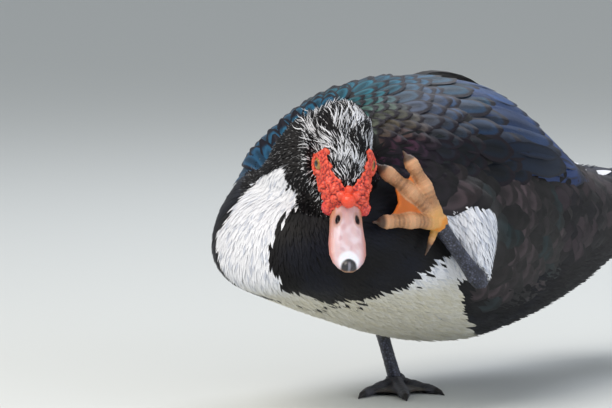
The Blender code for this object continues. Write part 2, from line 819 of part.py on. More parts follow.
WING_VANE_THICKNESS = 1.2
WING_VANE_ROLL = math.radians(8)
WING_TIERS = (
    # name, count, root y, tip y, root angles, tip angles, lifts at root and tip, width, steps
    ("coverts_small", 6, (-92, -62), (-58, -22), (34, 80), (26, 77), (3.2, 7.8), 21, 3),
    ("coverts_middle", 6, (-62, -28), (-20, 18), (31, 81), (24, 78), (3.8, 9.6), 24, 3),
    ("coverts_great", 6, (-26, 12), (30, 60), (30, 82), (24, 77), (4.0, 9.6), 26, 3),
    ("secondaries", 6, (18, 42), (94, 132), (31, 80), (26, 68), (3.4, 9.0), 28, 4),
    ("primaries", 4, (62, 72), (140, 166), (38, 60), (32, 52), (2.8, 6.4), 21, 4),
)


def make_wing(name, side, others):
    wing = wing_cushion(name, side)
    vanes = collection(name + "_vanes")
    for _, count, roots, tips, root_angles, tip_angles, lifts, width, steps in WING_TIERS:
        for i in range(count):
            u = i / (count - 1)
            start = [a + (b - a) * u for a, b in (roots, root_angles)]
            end = [a + (b - a) * u for a, b in (tips, tip_angles)]
            wing_vane(side, start, end, lifts, width, steps, vanes)
    unite(wing, vanes)
    return cut_clear(wing, others)


# Tail: a fan of vanes out of the end of the rump, with a tier of coverts over the roots
TAIL_FEATHERS = 14
TAIL_STEPS = 3


def make_tail():
    points, faces = skin_rings(torso_rings([TAIL_CUT + GAP / MM, 246, 264, 279, 291, 297]))
    tail = mesh_object("tail", points, faces, PARTS)
    fan = collection("tail_vanes")
    tiers = (
        # feathers, root y, length, half spread, width, height, droop at the sides
        (TAIL_FEATHERS, 262, TAIL_LENGTH, 27.0, 31.0, 143.0, 13.0),
        (5, 246, 80.0, 20.0, 30.0, 152.0, 12.0),
        (4, 252, 78.0, 15.0, 30.0, 112.0, -8.0),
    )
    for count, root_y, length, spread, width, height, droop in tiers:
        for i in range(count):
            u = -1 + 2 * i / (count - 1)
            angle = math.radians(spread * u)
            rank = abs(u)
            reach = length * (1 - 0.13 * rank**2)
            path, normals = [], []
            for k in range(TAIL_STEPS + 1):
                t = k / TAIL_STEPS
                x = 15 * u + reach * t * math.sin(angle)
                y = root_y + reach * t * math.cos(angle)
                z = height - droop * rank**1.6 * (0.3 + 0.7 * t) + 6 * t - 1.25 * abs(i - (count - 1) / 2)
                path.append(Vector((x, y, z)))
                normals.append(Vector((0.35 * u * math.copysign(1, droop), 0, 1)).normalized())
            vane("vane", path, normals, width, 1.1, fan, round_tip)
    unite(tail, fan)
    return tail


BLACK_PLUMAGE = material("black plumage", "#16151a", 0.55)
PIED_PLUMAGE = material("black and white plumage", "#6d6c74", 0.6)
WING_PLUMAGE = material("green black plumage", "#143338", 0.35)
RED_SKIN = material("red caruncle skin", "#d8402c", 0.4)
BILL_HORN = material("pink horn", "#dcb3a6", 0.35)
LEG_SKIN = material("slate scaled skin", "#34323a", 0.5)
WEB_SKIN = material("orange web skin", "#b8672a", 0.5)
EYE_GLOSS = material("amber eye", "#6a4a12", 0.1)

torso = make_torso()
eye_sockets = make_eyes()
head, head_core = make_head(eye_sockets)
bill_upper, bill_lower = make_bill(head_core)
caruncles = make_caruncles(head, head_core, eye_sockets, [bill_upper, bill_lower])
neck = make_neck([torso, head, caruncles])
cut_clear(torso, [head])
thigh_left = make_legs(torso)
for wing_name, wing_side in (("wing_left", 1), ("wing_right", -1)):
    make_wing(wing_name, wing_side, [neck, thigh_left])
make_tail()

LOOKS = {
    "torso": BLACK_PLUMAGE, "neck": BLACK_PLUMAGE, "head": PIED_PLUMAGE, "caruncles": RED_SKIN,
    "bill_upper": BILL_HORN, "bill_lower": BILL_HORN, "eye_left": EYE_GLOSS, "eye_right": EYE_GLOSS,
    "wing_left": WING_PLUMAGE, "wing_right": WING_PLUMAGE, "tail": BLACK_PLUMAGE,
    "thigh_left": BLACK_PLUMAGE, "tarsus_left": LEG_SKIN, "tarsus_right": LEG_SKIN,
    "foot_left": WEB_SKIN, "foot_right": LEG_SKIN,
}
for node, look in LOOKS.items():
    finish(bpy.data.objects[node], look)
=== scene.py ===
import json
import math

import bmesh
import bpy
import numpy as np
from mathutils import Matrix, Vector, noise
from mathutils.bvhtree import BVHTree
from mathutils.kdtree import KDTree

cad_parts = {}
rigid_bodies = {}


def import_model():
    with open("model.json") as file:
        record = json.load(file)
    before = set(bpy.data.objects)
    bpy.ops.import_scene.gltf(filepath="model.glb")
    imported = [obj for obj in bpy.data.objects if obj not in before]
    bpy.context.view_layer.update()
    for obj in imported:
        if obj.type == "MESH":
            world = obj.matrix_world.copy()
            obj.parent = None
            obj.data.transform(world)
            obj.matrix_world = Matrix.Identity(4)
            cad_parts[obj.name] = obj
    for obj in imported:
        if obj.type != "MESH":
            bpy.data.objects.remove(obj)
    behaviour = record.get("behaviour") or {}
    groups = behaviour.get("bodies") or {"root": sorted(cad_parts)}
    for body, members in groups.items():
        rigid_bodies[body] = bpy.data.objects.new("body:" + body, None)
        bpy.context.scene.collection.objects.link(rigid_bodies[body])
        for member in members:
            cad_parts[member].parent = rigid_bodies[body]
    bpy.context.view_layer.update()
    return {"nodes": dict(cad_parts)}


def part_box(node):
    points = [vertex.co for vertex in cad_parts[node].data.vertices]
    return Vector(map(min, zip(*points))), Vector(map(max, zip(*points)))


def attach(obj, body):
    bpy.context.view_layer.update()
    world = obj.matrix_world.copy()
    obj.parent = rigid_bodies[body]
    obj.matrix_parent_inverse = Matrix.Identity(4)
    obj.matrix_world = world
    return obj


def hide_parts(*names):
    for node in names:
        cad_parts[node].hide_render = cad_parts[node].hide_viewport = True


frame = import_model()
nodes = frame["nodes"]
mm = 0.001
rng = np.random.default_rng(11)
pieces = bpy.data.collections.new("duck")
bpy.context.scene.collection.children.link(pieces)


# Colours and small sums

def linear(hexValue):
    # sRGB hex to linear RGB
    parts = np.array([int(hexValue[i : i + 2], 16) / 255 for i in (1, 3, 5)])
    return np.where(parts <= 0.04045, parts / 12.92, ((parts + 0.055) / 1.055) ** 2.4)


def ease(value, low, high):
    t = np.clip((np.asarray(value, float) - low) / (high - low), 0, 1)
    return t * t * (3 - 2 * t)


def mixed(first, second, share):
    return first + (second - first) * np.asarray(share)[..., None]


def layered(base, *layers):
    # each layer is a colour, linear or hex, and how much of it covers what lies below
    for tone, share in layers:
        base = mixed(base, linear(tone) if isinstance(tone, str) else tone, share)
    return base


def unit(vectors):
    return vectors / np.maximum(np.linalg.norm(vectors, axis=-1, keepdims=True), 1e-12)


def cloud(points, size, shift=0.0):
    # soft noise from -1 to 1, with lumps about as big as size in metres
    return np.array([noise.noise(Vector(p) / size + Vector((shift, 7.3, 1.9))) for p in points])


def readTable(rows, keys):
    rows = np.array(rows, float)
    return [np.interp(keys, rows[:, 0], rows[:, k]) for k in range(1, rows.shape[1])]


# Facts of the bird that come from the solids

head = {
    # degrees it is turned to its left, bent down and tilted, then the size that counts as head
    "turn": 46, "nod": 52, "tilt": -2, "eyeRise": 1.5 * mm, "middle": (0, 0.003, -0.001),
    "radii": (0.025, 0.043, 0.031),
}
leftEye = sum(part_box("eye_left"), Vector()) / 2
rightEye = sum(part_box("eye_right"), Vector()) / 2
headTurn = (
    Matrix.Rotation(math.radians(head["turn"]), 3, "Z")
    @ Matrix.Rotation(math.radians(-head["tilt"]), 3, "Y")
    @ Matrix.Rotation(math.radians(head["nod"]), 3, "X")
)
headMid = (leftEye + rightEye) / 2 - headTurn @ Vector((0, 0, head["eyeRise"]))
headAxes = np.array(headTurn)
bodyHeight = 0.128  # the level that angles round the body are measured from


def toHead(points):
    # head's own frame in metres: x to its left, y backwards from the bill, z out of the crown
    return (np.asarray(points) - np.array(headMid)) @ headAxes


def fromHead(points):
    return np.asarray(points) @ headAxes.T + np.array(headMid)


def headShare(points):
    # 1 on the head, 0 away from it
    local = toHead(points) - np.array(head["middle"])
    reach = np.linalg.norm(local / np.array(head["radii"]), axis=1)
    return 1 - ease(reach, 0.98, 1.25)


neckPath = np.array([(41, -141, 190), (22, -138, 188), (4, -126, 178), (-3, -104, 164), (0, -85, 150)]) * mm
neckReach = (0.036, 0.050)  # the neck fades out between these distances from its path
neckEnd = (2.2, 3.6)  # and between these points along it


def neckShare(points):
    nearest = np.full(len(points), 9.0)
    along = np.zeros(len(points))
    for i in range(len(neckPath) - 1):
        a, b = neckPath[i], neckPath[i + 1]
        t = np.clip((points - a) @ (b - a) / ((b - a) @ (b - a)), 0, 1)
        gap = np.linalg.norm(points - a - t[:, None] * (b - a), axis=1)
        closer = gap < nearest
        nearest = np.where(closer, gap, nearest)
        along = np.where(closer, i + t, along)
    return (1 - ease(nearest, *neckReach)) * (1 - ease(along, *neckEnd))


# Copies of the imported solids, joined, remeshed and smoothed

def objectFrom(name, data, collection=pieces):
    made = bpy.data.objects.new(name, data)
    collection.objects.link(made)
    return made


def meshFrom(name, work):
    mesh = bpy.data.meshes.new(name)
    work.to_mesh(mesh)
    work.free()
    return mesh


def applied(obj):
    graph = bpy.context.evaluated_depsgraph_get()
    mesh = bpy.data.meshes.new_from_object(obj.evaluated_get(graph))
    obj.modifiers.clear()
    old, obj.data = obj.data, mesh
    bpy.data.meshes.remove(old)
    return obj


def treeOf(*names):
    work = bmesh.new()
    for name in names:
        work.from_mesh(nodes[name].data)
    tree = BVHTree.FromBMesh(work)
    work.free()
    return tree


def joined(name, sources, extra=()):
    work = bmesh.new()
    for source in sources:
        work.from_mesh(nodes[source].data)
    for matrix, steps in extra:
        bmesh.ops.create_uvsphere(work, u_segments=steps, v_segments=steps // 2, radius=1, matrix=matrix)
    return objectFrom(name, meshFrom(name, work))


def remeshed(obj, voxel, smoothing):
    remesh = obj.modifiers.new("remesh", "REMESH")
    remesh.mode, remesh.voxel_size = "VOXEL", voxel
    smooth = obj.modifiers.new("smooth", "SMOOTH")
    smooth.factor, smooth.iterations = 0.5, smoothing
    return applied(obj)


def dressed(obj, look):
    obj.data.materials.clear()
    obj.data.materials.append(look)
    obj.data.shade_smooth()
    return obj


def readArray(items, key, columns, kind=float):
    values = np.empty(len(items) * columns, kind)
    items.foreach_get(key, values)
    return values.reshape(-1, columns)


def meshArrays(mesh):
    return readArray(mesh.vertices, "co", 3), readArray(mesh.vertices, "normal", 3)


def setPoints(mesh, points):
    mesh.vertices.foreach_set("co", np.asarray(points, np.float32).ravel())
    mesh.update()


def paintPoints(mesh, name, colours):
    layer = mesh.color_attributes.new(name, "FLOAT_COLOR", "POINT")
    rgba = np.concatenate([np.clip(colours, 0, 1), np.ones((len(colours), 1))], axis=1)
    layer.data.foreach_set("color", rgba.astype(np.float32).ravel())


# Markings, shared by the skin and the coat

tones = {
    "black": linear("#08070b"), "blueBlack": linear("#0b0f1d"), "white": linear("#eef0f6"),
    # the cream is the belly's own off-white with painted shade and a painted greenish cast of light bounced
    # from below
    "shadedCream": linear("#cfcab4"), "brownBlack": linear("#141013"), "brown": linear("#41363a"),
    "greenBlack": linear("#0c2226"), "mauve": linear("#5c4d52"), "slate": linear("#2b3348"),
    # the blue-grey is painted shade, laid on a few white tufts
    "shadedBlueGrey": linear("#a3adc2"), "plumBlack": linear("#170f1a"),
}
# the white patch of the breast, seen from the front: height, right edge and left edge, in millimetres
breastPatch = (
    (76, -16, 34), (84, -10, 30), (92, -16, 24), (104, -27, 20), (116, -33, 17), (128, -35, 15),
    (140, -31, 19), (150, -28, 22), (160, -24, 23), (170, -13, 20), (180, 7, 15), (187, 14, 8),
)
# the black breast's lower edge along the body, and how far back the white belly goes at each height
breastHem = ((-190, 86), (-169, 87), (-152, 84), (-138, 84), (-123, 86), (-98, 94), (-81, 108), (-66, 118))
bellyRear = ((30, 60), (40, 49), (50, 20), (65, -10), (87, -36), (109, -57), (120, -66))
whiteTufts = ((34, 153, 164), (20, 212, 152))
whiteEdge = 1.5  # millimetres over which black turns to white, on either side of the line


def whiteShare(points):
    # above 0.5 the plumage is white
    x, y, z = (points / mm).T
    ragged = cloud(points * np.array((1, 1, 0.35)), 0.007) + 0.6 * cloud(points, 0.018, 4.0)
    lowEdge, highEdge = readTable(breastPatch, z)
    inPatch = np.minimum(x - lowEdge, highEdge - x) + 6.5 * ragged
    patch = ease(inPatch, -whiteEdge, whiteEdge) * (y < -120) * ease(z, 70, 78)
    hem = readTable(breastHem, y)[0]
    rear = readTable(bellyRear, z)[0]
    belly = np.minimum(hem - z, (rear - y) * 0.8) + 3.2 * ragged
    return np.maximum(patch, ease(belly, -whiteEdge, whiteEdge))


# Skin: one surface for body, neck, head, thigh and rump, a coat's depth inside the solids

skinSizes = {
    # depths under the solids, how much slimmer the neck's right side is, and the pads under the wings
    "voxel": 2.6 * mm, "smoothing": 7, "depth": 2.4 * mm, "neckDepth": 3.4 * mm, "headDepth": 1.2 * mm,
    "slim": 7.5 * mm, "wingPads": (6.0 * mm, 13.5 * mm),
    # two forms that fill it out: the rump over the tail's root and the jowls, in metres
    "rump": (0.044, 0.072, 0.040), "rumpHeight": 0.1165,
    "jowl": (0.019, 0.019, 0.020), "jowlPlace": (0, 0.024, -0.010),
}
# degrees up the side at each y: the wing's lower edge, and how far down the flank's broad feathers go
wingLow = ((-122, 58), (-110, 50), (-86, 43), (-69, 38), (-45, 34), (-2, 29), (51, 26), (120, 21), (170, 18))
flankLow = (
    (-90, 20), (-84, 14), (-70, 2), (-58, -9), (-37, -22), (-10, -34), (20, -36), (60, -30), (90, -24),
)
# past these degrees the back lies between the wings and has a coat of its own
wingHigh = ((20, 91), (72, 84), (100, 72), (140, 52))
wingTop = 89
wingSpan = (-118, 118)
farWing = {"lower": 16, "forward": 8}  # degrees and millimetres at its shoulder


def wingEdge(y, x):
    # the far wing hangs lower in front
    low = readTable(wingLow, y)[0]
    return np.where(np.asarray(x) < 0, low - farWing["lower"] * (1 - ease(y, -100, -30)), low)


def wingFront(x):
    return wingSpan[0] - farWing["forward"] * (np.asarray(x) < 0)


def wingPad(points):
    # how far the folded wings hold the coat off the body
    degrees = np.degrees(np.arctan2(points[:, 2] - bodyHeight, np.abs(points[:, 0])))
    y = points[:, 1] / mm
    low = wingEdge(y, points[:, 0])
    front = wingFront(points[:, 0])
    ends = ease(y, front - 6, front + 20) * (1 - ease(y, wingSpan[1] - 34, wingSpan[1] + 36))
    foot, top = skinSizes["wingPads"]
    height = foot + (top - foot) * ease(degrees, 38, 78)
    clear = (1 - neckShare(points)) * (1 - headShare(points))
    return height * ease(degrees, low - 1, low + 8) * ends * clear


def makeSkin():
    rumpPlace = Vector((0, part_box("tail")[0].y - 0.006, skinSizes["rumpHeight"]))
    jowlPlace = Vector(fromHead(skinSizes["jowlPlace"]))
    rump = Matrix.Translation(rumpPlace) @ Matrix.Diagonal((*skinSizes["rump"], 1))
    jowl = Matrix.Translation(jowlPlace) @ Matrix.Diagonal((*skinSizes["jowl"], 1))
    skin = joined("skin", ["torso", "neck", "head", "thigh_left"], [(rump, 32), (jowl, 24)])
    remeshed(skin, skinSizes["voxel"], skinSizes["smoothing"])
    points, normals = meshArrays(skin.data)
    depth = skinSizes["depth"] + (skinSizes["neckDepth"] - skinSizes["depth"]) * neckShare(points)
    # the neck is slimmer on its right, where the far wing shows behind it
    slim = ease(normals @ np.array((-0.79, -0.61, 0)), 0.0, 0.7) * ease(points[:, 2], 0.168, 0.186)
    depth += skinSizes["slim"] * slim * ease(neckShare(points), 0.1, 0.5)
    depth += (skinSizes["headDepth"] - depth) * headShare(points)
    setPoints(skin.data, points + normals * (wingPad(points) - depth)[:, None])
    relax = skin.modifiers.new("relax", "SMOOTH")
    relax.factor, relax.iterations = 0.5, 4
    applied(skin)
    skin.data.uv_layers.new(name="OFBake")
    bpy.context.view_layer.objects.active = skin
    bpy.ops.object.select_all(action="DESELECT")
    skin.select_set(True)
    bpy.ops.object.mode_set(mode="EDIT")
    bpy.ops.mesh.select_all(action="SELECT")
    bpy.ops.uv.smart_project(angle_limit=math.radians(66), island_margin=0.002)
    bpy.ops.object.mode_set(mode="OBJECT")
    return skin


skin = makeSkin()
print("skin", len(skin.data.polygons), "faces")

skinMesh = skin.data
skinMesh.calc_loop_triangles()
skinPoints, skinNormals = meshArrays(skinMesh)
triCorners = readArray(skinMesh.loop_triangles, "vertices", 3, np.int32)
triLoops = readArray(skinMesh.loop_triangles, "loops", 3, np.int32)
triUv = readArray(skinMesh.uv_layers["OFBake"].data, "uv", 2)[triLoops]
skinTree = BVHTree.FromPolygons([Vector(p) for p in skinPoints], triCorners.tolist())
triSides = (skinPoints[triCorners[:, k]] - skinPoints[triCorners[:, 0]] for k in (1, 2))
triAreas = np.linalg.norm(np.cross(*triSides), axis=1)
triCentres = skinPoints[triCorners].mean(1)
# the head and neck, with the finest feathers, get more candidates to the area
headBoost = np.clip(neckShare(triCentres) * 2 + headShare(triCentres) * 5, 0, 5)


def sampleSkin(count, boost=1):
    # points spread evenly over the skin's area, or by boost, with their normals and places on its unwrap
    areas = triAreas * boost
    picked = rng.choice(len(areas), count, p=areas / areas.sum())
    u, v = rng.random(count), rng.random(count)
    over = u + v > 1
    u, v = np.where(over, 1 - u, u), np.where(over, 1 - v, v)
    weights = np.stack([1 - u - v, u, v], axis=1)
    place = (skinPoints[triCorners[picked]] * weights[..., None]).sum(1)
    normal = unit((skinNormals[triCorners[picked]] * weights[..., None]).sum(1))
    return place, normal, (triUv[picked] * weights[..., None]).sum(1)


def uvOfPlaces(points):
    return np.array([triUv[skinTree.find_nearest(Vector(p))[2]].mean(0) for p in points])


def thinned(points, spacing):
    # indices of points that keep their spacing from one another
    tree = KDTree(len(points))
    for i, p in enumerate(points):
        tree.insert(p, i)
    tree.balance()
    free = np.ones(len(points), bool)
    kept = []
    for i, p in enumerate(points):
        if free[i]:
            kept.append(i)
            free[[near[1] for near in tree.find_range(p, spacing[i])]] = False
    return np.array(kept)


# Lie of the coat: guides of place, direction and reach in millimetres, blended by distance

bodyGuides = (
    ((38, -128, 207), (-0.75, 0.6, 0.1), 15), ((10, -120, 213), (-0.45, 0.85, -0.1), 20),
    ((-5, -98, 208), (-0.1, 1, 0), 22), ((20, -164, 190), (-0.85, -0.1, -0.5), 15),
    ((5, -162, 180), (-0.5, -0.1, -0.85), 16), ((-28, -135, 187), (-0.5, 0.6, -0.5), 20),
    ((36, -160, 165), (-0.1, -0.1, -1), 16), ((0, -168, 150), (-0.1, -0.1, -1), 25),
    ((0, -178, 120), (0, 0, -1), 25), ((-45, -160, 125), (-0.4, 0.4, -0.8), 30),
    ((45, -158, 125), (0.35, 0.4, -0.8), 30), ((75, -110, 120), (0.1, 0.85, -0.5), 35),
    ((-75, -110, 120), (-0.1, 0.85, -0.5), 35), ((0, -160, 88), (0, 0.8, -0.6), 25),
    ((0, -90, 62), (0, 1, -0.1), 45), ((92, 0, 110), (0, 0.9, -0.42), 45),
    ((-92, 0, 110), (0, 0.9, -0.42), 45), ((0, 0, 230), (0, 1, 0), 60), ((0, 60, 40), (0, 1, 0.1), 60),
    ((85, 100, 110), (0, 1, -0.1), 50), ((-85, 100, 110), (0, 1, -0.1), 50), ((0, 200, 120), (0, 1, 0), 80),
    ((0, 280, 130), (0, 1, 0), 60), ((96, -35, 152), (0.2, -0.1, -1), 15),
    ((100, -42, 120), (0.25, -0.15, -1), 13),
)
headGuides = (
    ((0, -28, 10), (0, 1, 0.3)), ((0, 0, 22), (0, 1, 0)), ((0, 26, 17), (0, 1, 0.1)),
    ((16, -4, 14), (0.25, 1, 0.1)), ((-16, -4, 14), (-0.25, 1, 0.1)), ((17, 0, -8), (0, 1, -0.35)),
    ((-17, 0, -8), (0, 1, -0.35)), ((16, 20, 4), (0.3, 1, 0)), ((-16, 20, 4), (-0.3, 1, 0)),
    ((0, 0, -22), (0, 1, 0)),
)
headReach = 13


def flowAt(points, normals):
    total = np.zeros_like(points)
    for place, way, reach in bodyGuides:
        near = np.exp(-((points - np.array(place) * mm) ** 2).sum(1) / (2 * (reach * mm) ** 2))
        total += unit(np.array(way, float))[None] * (near / reach)[:, None]
    for place, way in headGuides:
        middle = fromHead(np.array(place) * mm)
        near = np.exp(-((points - middle) ** 2).sum(1) / (2 * (headReach * mm) ** 2))
        total += unit(np.array(way, float) @ headAxes.T)[None] * (near / headReach)[:, None]
    total += np.array((0, 1e-6, 0))
    return unit(total - normals * (total * normals).sum(1)[:, None])


# Feathers: closed vanes with a raised shaft, all of one kind built at once

def layPaths(roots, normals, lengths, lifts, steps, turn=None, curl=None):
    # each path runs over the skin along the lie of the coat; turn and curl are angles in radians
    way = flowAt(roots, normals)
    if turn is not None:
        side = np.cross(normals, way)
        way = way * np.cos(turn)[:, None] + side * np.sin(turn)[:, None]
    place, normal = roots.copy(), normals.copy()
    paths, ups = [], []
    for k in range(steps + 1):
        t = k / steps
        rise = lifts[0] + (lifts[1] - lifts[0]) * t**1.3
        paths.append(place + normal * np.asarray(rise).reshape(-1, 1))
        ups.append(normal.copy())
        ahead = place + way * (lengths / steps)[:, None]
        for i, p in enumerate(ahead):
            spot, up = skinTree.find_nearest(Vector(p))[:2]
            place[i] = spot
            normal[i] = normal[i] * 0.4 + np.array(up) * 0.6
        normal = unit(normal)
        if curl is not None:
            bend = (curl[k] if np.ndim(curl) == 2 else curl) / steps
            way = way * np.cos(bend)[:, None] + np.cross(normal, way) * np.sin(bend)[:, None]
        way = unit(way - normal * (way * normal).sum(1)[:, None])
    return np.stack(paths, 1), np.stack(ups, 1)


vaneShapes = {
    "body": (0.55, 0.9, 1.0, 0.85, 0.25),
    "streak": (0.7, 1.0, 0.85, 0.5, 0.08),
    "broad": (0.5, 0.78, 0.96, 1.0, 0.93, 0.66, 0.16),
    "flight": (0.45, 0.7, 0.88, 0.97, 1.0, 1.0, 0.92, 0.66, 0.2),
    "lock": (0.6, 1.0, 1.0, 0.9, 0.65, 0.06),
    "fleck": (0.7, 1.0, 0.75, 0.12),
}


vaneColumns = {3: (-1, 0, 1), 5: (-1, -0.55, 0, 0.55, 1)}  # across a narrow vane and a broad one
vaneCaps = {3: ((0, 1, 2, 3),), 5: ((0, 1, 2, 5), (2, 3, 4, 5))}
bakePatch = (0.0015, 0.003)  # a feather's share of the skin's unwrap, across and along
mostTriangles = 195000  # in one piece; longer lists of feathers become several


def makeVanes(name, paths, ups, widths, shape, colours, fringes, look, rootUv=None, thickness=0.25 * mm,
              camber=0.16, columns=3, ragged=0.06, tips=None, tipStart=0.3):
    # colours, fringes and tips hold one colour a feather; the fringe runs round the edge in the shader
    count, rows = paths.shape[:2]
    rootUv = uvOfPlaces(paths[:, 0]) if rootUv is None else rootUv
    ahead = np.gradient(paths, axis=1)
    side = unit(np.cross(ahead, ups))
    up = np.cross(side, unit(ahead))
    t = np.linspace(0, 1, rows)
    profile = np.interp(t, np.linspace(0, 1, len(vaneShapes[shape])), vaneShapes[shape])
    half = widths[:, None] / 2 * profile * (1 + ragged * rng.standard_normal((count, rows)))
    across = np.array(vaneColumns[columns])
    ring = columns + 1
    thick = thickness * (1 - 0.7 * t)[None, :, None]
    points = np.empty((count, rows, ring, 3))
    for j, u in enumerate(across):
        arch = -camber * u * u * half[..., None] + (thick * 0.8 if u == 0 else 0)
        points[:, :, j] = paths + side * (u * half)[..., None] + up * arch
    points[:, :, -1] = paths - up * (thick + camber * 0.5 * half[..., None])
    base = np.arange(count)[:, None] * rows * ring
    faces = []
    for i in range(rows - 1):
        for j in range(ring):
            n = (j + 1) % ring
            quad = (i * ring + j, i * ring + n, (i + 1) * ring + n, (i + 1) * ring + j)
            faces.append(base + np.array(quad))
    for cap in vaneCaps[columns]:
        faces.append(base + np.array(cap[::-1]))
        faces.append(base + np.array(cap) + (rows - 1) * ring)
    faces = np.stack(faces, 1).reshape(-1, 4)
    corners = faces.ravel()

    # one value a vertex for paint and for the vane's own coordinates
    u = np.append(across, 0.0)
    edge = np.maximum(np.abs(u)[None, :], ease(t, 0.55, 1.0)[:, None])
    edge = np.broadcast_to(edge, (count, rows, ring))
    vaneU = half[..., None] * u
    lengths = np.linalg.norm(np.diff(paths, axis=1), axis=2).sum(1)
    vaneV = np.broadcast_to((lengths[:, None] * t)[..., None], (count, rows, ring))
    bakeU = rootUv[:, None, None, 0] + bakePatch[0] * np.broadcast_to(u, (count, rows, ring))
    along = np.broadcast_to(t[:, None], (count, rows, ring))
    bakeV = rootUv[:, None, None, 1] + bakePatch[1] * (along - 0.5)
    plume = np.broadcast_to(colours[:, None, None], (count, rows, ring, 3))
    if tips is not None:
        share = ease(t, tipStart, tipStart + 0.3)[None, :, None, None]
        plume = plume + (tips[:, None, None] - plume) * share
    rim = np.broadcast_to(fringes[:, None, None], (count, rows, ring, 3))

    made = []
    perFeather = 2 * ((rows - 1) * ring + 2 * len(vaneCaps[columns]))
    most = mostTriangles // perFeather
    for first in range(0, count, most):
        part = slice(first, min(first + most, count))
        number = part.stop - part.start
        mesh = bpy.data.meshes.new(name)
        pointCount, faceCount = number * rows * ring, number * perFeather // 2
        mesh.vertices.add(pointCount)
        mesh.loops.add(faceCount * 4)
        mesh.polygons.add(faceCount)
        mesh.vertices.foreach_set("co", points[part].astype(np.float32).ravel())
        own = corners[first * perFeather * 2 : part.stop * perFeather * 2] - first * rows * ring
        mesh.loops.foreach_set("vertex_index", own.astype(np.int32))
        mesh.polygons.foreach_set("loop_start", np.arange(faceCount, dtype=np.int32) * 4)
        mesh.update(calc_edges=True)
        for layerName, uValues, vValues in (("OFBake", bakeU, bakeV), ("vane", vaneU, vaneV)):
            layer = mesh.uv_layers.new(name=layerName)
            pair = np.stack([uValues[part].ravel()[own], vValues[part].ravel()[own]], 1)
            layer.data.foreach_set("uv", pair.astype(np.float32).ravel())
        paintPoints(mesh, "plume", plume[part].reshape(-1, 3))
        paintPoints(mesh, "rim", rim[part].reshape(-1, 3))
        margin = mesh.attributes.new("margin", "FLOAT", "POINT")
        margin.data.foreach_set("value", edge[part].astype(np.float32).ravel())
        mesh.materials.append(look)
        mesh.shade_smooth()
        mesh.set_sharp_from_angle(angle=math.radians(60))
        made.append(objectFrom(name if count <= most else f"{name}_{len(made) + 1}", mesh))
    return made


# Materials

def addNode(tree, kind, settings=None, **links):
    # one node with its settings; a link names an input, or i and its number, and gives a socket or a value
    made = tree.nodes.new(kind)
    for key, value in (settings or {}).items():
        setattr(made, key, value)
    for key, value in links.items():
        socket = made.inputs[int(key[1:]) if key[1:].isdigit() else key]
        if isinstance(value, bpy.types.NodeSocket):
            tree.links.new(value, socket)
        else:
            socket.default_value = value
    return made


def newMaterial(name, **fixed):
    made = bpy.data.materials.new(name)
    made.use_nodes = True
    tree = made.node_tree
    shader = tree.nodes["Principled BSDF"]
    for key, value in fixed.items():
        shader.inputs[key.replace("_", " ")].default_value = value
    return made, tree, shader


def featherMaterial(name, barbMm, rimStart, rimShare, heart, bumpShare, **fixed):
    # keratin vane: paint from the coat, darker at its heart and rim, and barbs that slant from the shaft
    made, tree, shader = newMaterial(name, **fixed)
    plume, rim, margin = (
        addNode(tree, "ShaderNodeAttribute", {"attribute_name": key}) for key in ("plume", "rim", "margin")
    )
    place = addNode(tree, "ShaderNodeUVMap", {"uv_map": "vane"})
    parts = addNode(tree, "ShaderNodeSeparateXYZ", i0=place.outputs[0])
    out = addNode(tree, "ShaderNodeMath", {"operation": "ABSOLUTE"}, i0=parts.outputs[0])
    slanted = addNode(tree, "ShaderNodeMath", {"operation": "MULTIPLY_ADD"}, i0=out.outputs[0], i1=-1.1,
                      i2=parts.outputs[1])
    phase = addNode(tree, "ShaderNodeMath", {"operation": "MULTIPLY"}, i0=slanted.outputs[0],
                    i1=2 * math.pi / (barbMm * mm))
    ripple = addNode(tree, "ShaderNodeMath", {"operation": "SINE"}, i0=phase.outputs[0])
    # the fringe wavers a little, as barbs end unevenly
    uneven = addNode(tree, "ShaderNodeMath", {"operation": "MULTIPLY_ADD"}, i0=ripple.outputs[0], i1=0.035,
                     i2=margin.outputs["Fac"])
    edge = addNode(tree, "ShaderNodeMapRange", {"interpolation_type": "SMOOTHSTEP"}, i0=uneven.outputs[0],
                   i1=rimStart, i2=min(rimStart + 0.16, 1.0), i3=0.0, i4=rimShare)
    tone = addNode(tree, "ShaderNodeMix", {"data_type": "RGBA"}, i0=edge.outputs[0],
                   i6=plume.outputs["Color"], i7=rim.outputs["Color"])
    core = addNode(tree, "ShaderNodeMapRange", {"interpolation_type": "SMOOTHSTEP"}, i0=uneven.outputs[0],
                   i1=0.15, i2=0.55, i3=heart, i4=1.0)
    barbs = addNode(tree, "ShaderNodeMapRange", i0=ripple.outputs[0], i1=-1.0, i2=1.0, i3=0.78, i4=1.15)
    shade = addNode(tree, "ShaderNodeMath", {"operation": "MULTIPLY"}, i0=core.outputs[0],
                    i1=barbs.outputs[0])
    final = addNode(tree, "ShaderNodeVectorMath", {"operation": "SCALE"}, i0=tone.outputs[2],
                    i3=shade.outputs[0])
    tree.links.new(final.outputs[0], shader.inputs["Base Color"])
    bump = addNode(tree, "ShaderNodeBump", Height=ripple.outputs[0], Strength=bumpShare, Distance=0.1 * mm)
    tree.links.new(bump.outputs[0], shader.inputs["Normal"])
    return made


# in each: barb spacing in millimetres, the rim's start and strength, the heart's shade and the relief
# soft contour feathers: matt, with a faint sheen where the down catches light
contourFeather = featherMaterial(
    "contour feather keratin", 1.3, 0.72, 0.6, 0.9, 0.2,
    Roughness=0.6, Sheen_Weight=0.08, Sheen_Roughness=0.4, Specular_IOR_Level=0.22,
)
# flank feathers: brown with a paler arc inside the dark edge
flankFeather = featherMaterial(
    "flank feather keratin", 1.4, 0.62, 0.9, 0.42, 0.3,
    Roughness=0.5, Sheen_Weight=0.06, Sheen_Roughness=0.4, Specular_IOR_Level=0.25,
)
